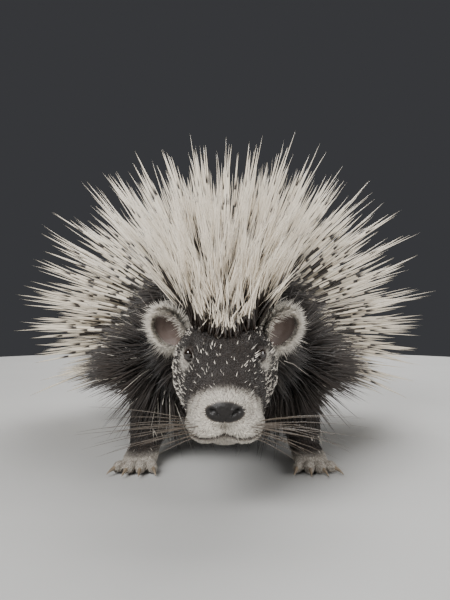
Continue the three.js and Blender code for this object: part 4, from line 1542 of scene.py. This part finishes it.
eye_gloss = eye_material()
lid_skin = hide_material("lid skin", (0.02, 0.015, 0.012, 1), (0.05, 0.037, 0.03, 1))
for name, side in SIDES:
    ball = mesh_object("eyeball_" + name, *eye_ball(side))
    ball.data.materials.append(eye_gloss)
    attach(ball, "root")
    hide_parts("eye_" + name)
    lids = mesh_object("lids_" + name, *lid_band(side))
    lids.data.materials.append(lid_skin)
    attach(lids, "root")
    print("eye", name, triangle_count(ball), "triangles, its lids", triangle_count(lids))

# %% [markdown]
# The ears are small and round, with a bare hollow. Each is a bowl of thin skin: the back and
# the hollow are one closed surface, from a pole in the middle of the back, over the rolled
# rim, to a pole in the hollow, with the ridges of the cartilage pressed up inside it.

# %% The ear's shell
EAR_HEIGHT = 48


def ear_axes(side):
    """The middle of the ear's opening, the way it rises and the way it faces."""
    rise = unit(np.array([side * 0.72, 0.16, 0.68]))
    facing = np.array([side * 0.5, -0.86, -0.1])
    facing = unit(facing - rise * (facing @ rise))
    return under_head(0.8, 62 * side, 0) + rise * EAR_HEIGHT / 2 * 0.72, rise, facing


def ear_shell(side, rings=26, sides=56):
    """With v from 0 to 1 over the back and down again inside, the distance from the middle is
    sin-shaped and the depth an ellipsoid's; the rim is a rounded oval, notched in front."""
    half = EAR_HEIGHT / 2
    centre, rise, facing = ear_axes(side)
    across = np.cross(rise, facing)
    a = np.linspace(0, 2 * math.pi, sides, endpoint=False)[None, :]
    v = np.linspace(0.03, 0.97, rings)[:, None]
    outer = v < 0.5
    reach = np.where(outer, np.sin(v * math.pi), np.sin(v * math.pi) * 0.955)
    bowl = np.sqrt(np.maximum(0, 1 - reach**2))
    depth = np.where(outer, -0.5 * bowl, -0.5 * bowl * 0.86 + 0.05)
    notch = 1 - 0.16 * bump(np.sin((a + math.pi / 2) / 2), 0.22)
    ridge = 0.07 * bump(reach - 0.66, 0.12) * smooth(-0.6, 0.3, np.sin(a)) * ~outer
    ridge = ridge + 0.05 * bump(reach - 0.34, 0.1) * smooth(-0.2, 0.5, -np.sin(a)) * ~outer
    roll = 0.07 * bump(v - 0.5, 0.06)
    wide = (0.8 + roll) * reach * np.cos(a)
    tall = (1.0 + roll) * reach * np.sin(a) * notch
    grid = centre + half * (across * wide[..., None] + rise * tall[..., None])
    grid = grid + facing * (half * (depth + ridge + 0.28 * np.abs(wide) * 0.3 + 0.18))[..., None]
    return closed_grid(grid)


print("an ear is a closed shell of", len(ear_shell(1)[1]), "triangles")

# %% [markdown]
# Short hair covers the ear's back, and a pale fringe of longer hair stands on its rim, as the
# white outline of the ears in the picture. It comes from the same function as the coat, with
# the ear's own surface and with fields that follow the distance from the ear's middle.

# %% Ears
def ear_reach(side, p):
    """How far out of the ear's middle a point lies, as a share of the rim's distance."""
    centre, rise, facing = ear_axes(side)
    away = p - centre
    wide = away @ np.cross(rise, facing) / 0.8
    return np.hypot(wide, away @ rise) / (EAR_HEIGHT / 2)


def ear_coat(side, ear):
    """The parts of the ear that carry hair: its back and its rim, but not the bare hollow."""
    surface = skin_triangles(ear)
    _, _, middles, facing = surface
    kept = (facing @ ear_axes(side)[2] < 0.1) | (ear_reach(side, middles) > 0.9)
    return [part[kept] for part in surface]


EAR_HAIR = {"half": 0.05, "widest": 0.5, "slope": 1.1, "curl": 0.2, "rings": (0.0, 0.45)}
ear_skin = hide_material("ear skin", (0.06, 0.041, 0.034, 1), (0.15, 0.105, 0.085, 1))
for name, side in SIDES:
    ear = mesh_object("earshell_" + name, *ear_shell(side))
    ear.data.materials.append(ear_skin)
    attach(ear, "root")
    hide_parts("ear_" + name)
    rim = lambda p: smooth(0.84, 0.98, ear_reach(side, p))
    outwards_from_middle = lambda p, out: p - ear_axes(side)[0] + 6 * ear_axes(side)[1]
    grow_coat("ear_hair_" + name, 2400, lambda p: 0.4 + 2 * rim(p), EAR_HAIR, face_fur,
              ear_coat(side, ear), outwards_from_middle, lambda p: 6 + 4 * rim(p), rim)

# %% [markdown]
# The claws are blunt digging horns, a little curved and worn at the tips. All eighteen have
# one formula: a round section, flat underneath, that shrinks along a line bending down.

# %% Claws
CLAW_RADIUS = 3.3
CLAW_DROP = 4.4


def claw_shell(base, heading, length, rings=9, sides=12):
    """A horn: base + heading·L·t dropping as t², radius r·(1 - 0.8·t^1.4), flattened below."""
    t = np.linspace(-0.35, 1, rings)[:, None, None]
    a = np.linspace(0, 2 * math.pi, sides, endpoint=False)[None, :, None]
    up = np.array([0, 0, 1.0])
    side = np.cross(heading, up)
    radius = CLAW_RADIUS * (1 - 0.8 * np.clip(t, 0, 1) ** 1.4)
    line = base + heading * length * t - up * CLAW_DROP * np.maximum(t, 0) ** 2
    grid = line + radius * (side * 0.82 * np.cos(a) + up * np.maximum(np.sin(a), -0.6))
    return closed_grid(grid)


def claw_material():
    """Dark brown horn, paler and rougher where it is worn, with a fine uneven grain."""
    material, tree, shader = new_material("claw horn")
    worn = noise(tree, 90.0, 5.0)
    colour = colour_mix(tree, worn, (0.07, 0.05, 0.034, 1), (0.34, 0.27, 0.19, 1))
    rough = calculate(tree, "MULTIPLY_ADD", worn, 0.3, 0.22)
    normal = bumped(tree, noise(tree, 1400.0), 0.4, 0.0004)
    feed(tree, shader, {"Base Color": colour, "Roughness": rough, "Normal": normal})
    return material


claws = []
for leg, side in LEGS:
    _, ends, headings = toe_places(leg, side)
    reach = TOES[leg]["claw"]
    claws += [claw_shell(end + way * 3, way, reach) for end, way in zip(ends, headings)]
claw_piece = mesh_object("claws", *join(claws))
claw_piece.data.materials.append(claw_material())
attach(claw_piece, "root")
print(len(claws), "claws")

# %% [markdown]
# Long stiff whiskers grow in three rows from each lip pad. They are thin tapered strands
# that leave the pad sideways and bend back and down, spindles like the crest's bristles.

# %% Whiskers
WHISKER_RADIUS = 0.42


def whisker_roots(side, rows=3, columns=6):
    """Roots in rows on a lip pad, and the way each whisker leaves it."""
    r, c = np.indices((rows, columns)).reshape(2, -1)
    turn = np.radians(18 + 13 * c + rng.uniform(-4, 4, r.size))
    lift = np.radians(-14 + 17 * r + rng.uniform(-4, 4, r.size))
    out = HEADWARDS * (np.cos(turn) * np.cos(lift))[:, None] + HEAD_UP * np.sin(lift)[:, None]
    out = out + LEFT * (side * np.sin(turn) * np.cos(lift))[:, None]
    pad = on_head(15, side * 19, -9)
    way = unit(out + LEFT * side * 1.1 - HEADWARDS * 0.3)
    return pad + out * [19.0, 19.0, 17.0], way, 58 + 13.0 * c - 3 * np.abs(r - 1)


both = [whisker_roots(side) for side in (1, -1)]
root, way, length = (np.concatenate([part[k] for part in both]) for k in range(3))
count = len(root)
bend = np.tile([0.0, 0.24, -0.2], (count, 1)) + rng.normal(size=(count, 3)) * 0.06
place = np.stack([np.arange(count) / count, np.zeros(count)], 1)
dark_strand = quill_material(
    "whisker horn", (0.3, 0.26, 0.22, 1), first_dark=0.0, last_dark=2.0, bands=0.0)
grow_quills(
    "whiskers", root, way, length * rng.uniform(0.85, 1.15, count),
    np.full(count, WHISKER_RADIUS), bend, place, (0.9 / count, 0.95), dark_strand,
    4, CREST_AT, CREST_PROFILE)

# %% [markdown]
# The stage is a plain pale floor, a wide disc. Its far edge lies low in the camera's view,
# so that most quills stand against the dark room as the white shapes do in the picture.

# %% Floor
def floor_disc(radius=1.6, sides=160):
    """A round floor under the animal, with a fine-grained pale finish."""
    mesh = bpy.data.meshes.new("floor")
    turn = np.linspace(0, 2 * math.pi, sides, endpoint=False)
    rim = np.stack([radius * np.cos(turn), radius * np.sin(turn), 0 * turn], 1)
    mesh.from_pydata(rim.tolist(), [], [tuple(range(sides))])
    floor = bpy.data.objects.new("floor", mesh)
    bpy.context.scene.collection.objects.link(floor)
    material, tree, shader = new_material("pale floor")
    colour = colour_mix(tree, noise(tree, 6.0), (0.43, 0.425, 0.41, 1), (0.48, 0.475, 0.46, 1))
    feed(tree, shader, {"Base Color": colour, "Roughness": 0.65})
    mesh.materials.append(material)
    return floor


floor = floor_disc()
floor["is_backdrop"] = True
print("floor", [round(side, 2) for side in floor.dimensions[:2]], "metres")

# %% [markdown]
# A broad soft light stands in front, a weaker one at the other side, and one behind and
# above catches the quills and parts them from the dark. The room itself gives a faint grey.

# %% Lights
def soft_light(name, spot, aim, width, power):
    """A square lamp at a spot, turned to face its aim."""
    light = bpy.data.objects.new(name, bpy.data.lights.new(name, "AREA"))
    light.data.shape, light.data.size, light.data.energy = "SQUARE", width, power
    light.location = spot
    light.rotation_euler = (Vector(aim) - Vector(spot)).to_track_quat("-Z", "Y").to_euler()
    bpy.context.scene.collection.objects.link(light)


soft_light("key", (-1.3, -2.0, 1.9), (0, -0.2, 0.2), 1.8, 120)
soft_light("fill", (2.0, -1.6, 0.9), (0, -0.2, 0.15), 2.0, 52)
soft_light("back", (0.4, 1.9, 2.2), (0, 0, 0.3), 1.8, 105)
world = bpy.data.worlds.new("room")
world.use_nodes = True
world.node_tree.nodes["Background"].inputs["Color"].default_value = (0.045, 0.046, 0.05, 1)
bpy.context.scene.world = world
print(len(bpy.data.lights), "soft lights")

# %% Check and finish
visual_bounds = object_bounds()
sizes = {"cad": [list(c) for c in cad_bounds], "visual": [list(c) for c in visual_bounds]}
for name in sizes:
    print(name, [[round(v, 3) for v in corner] for corner in sizes[name]])
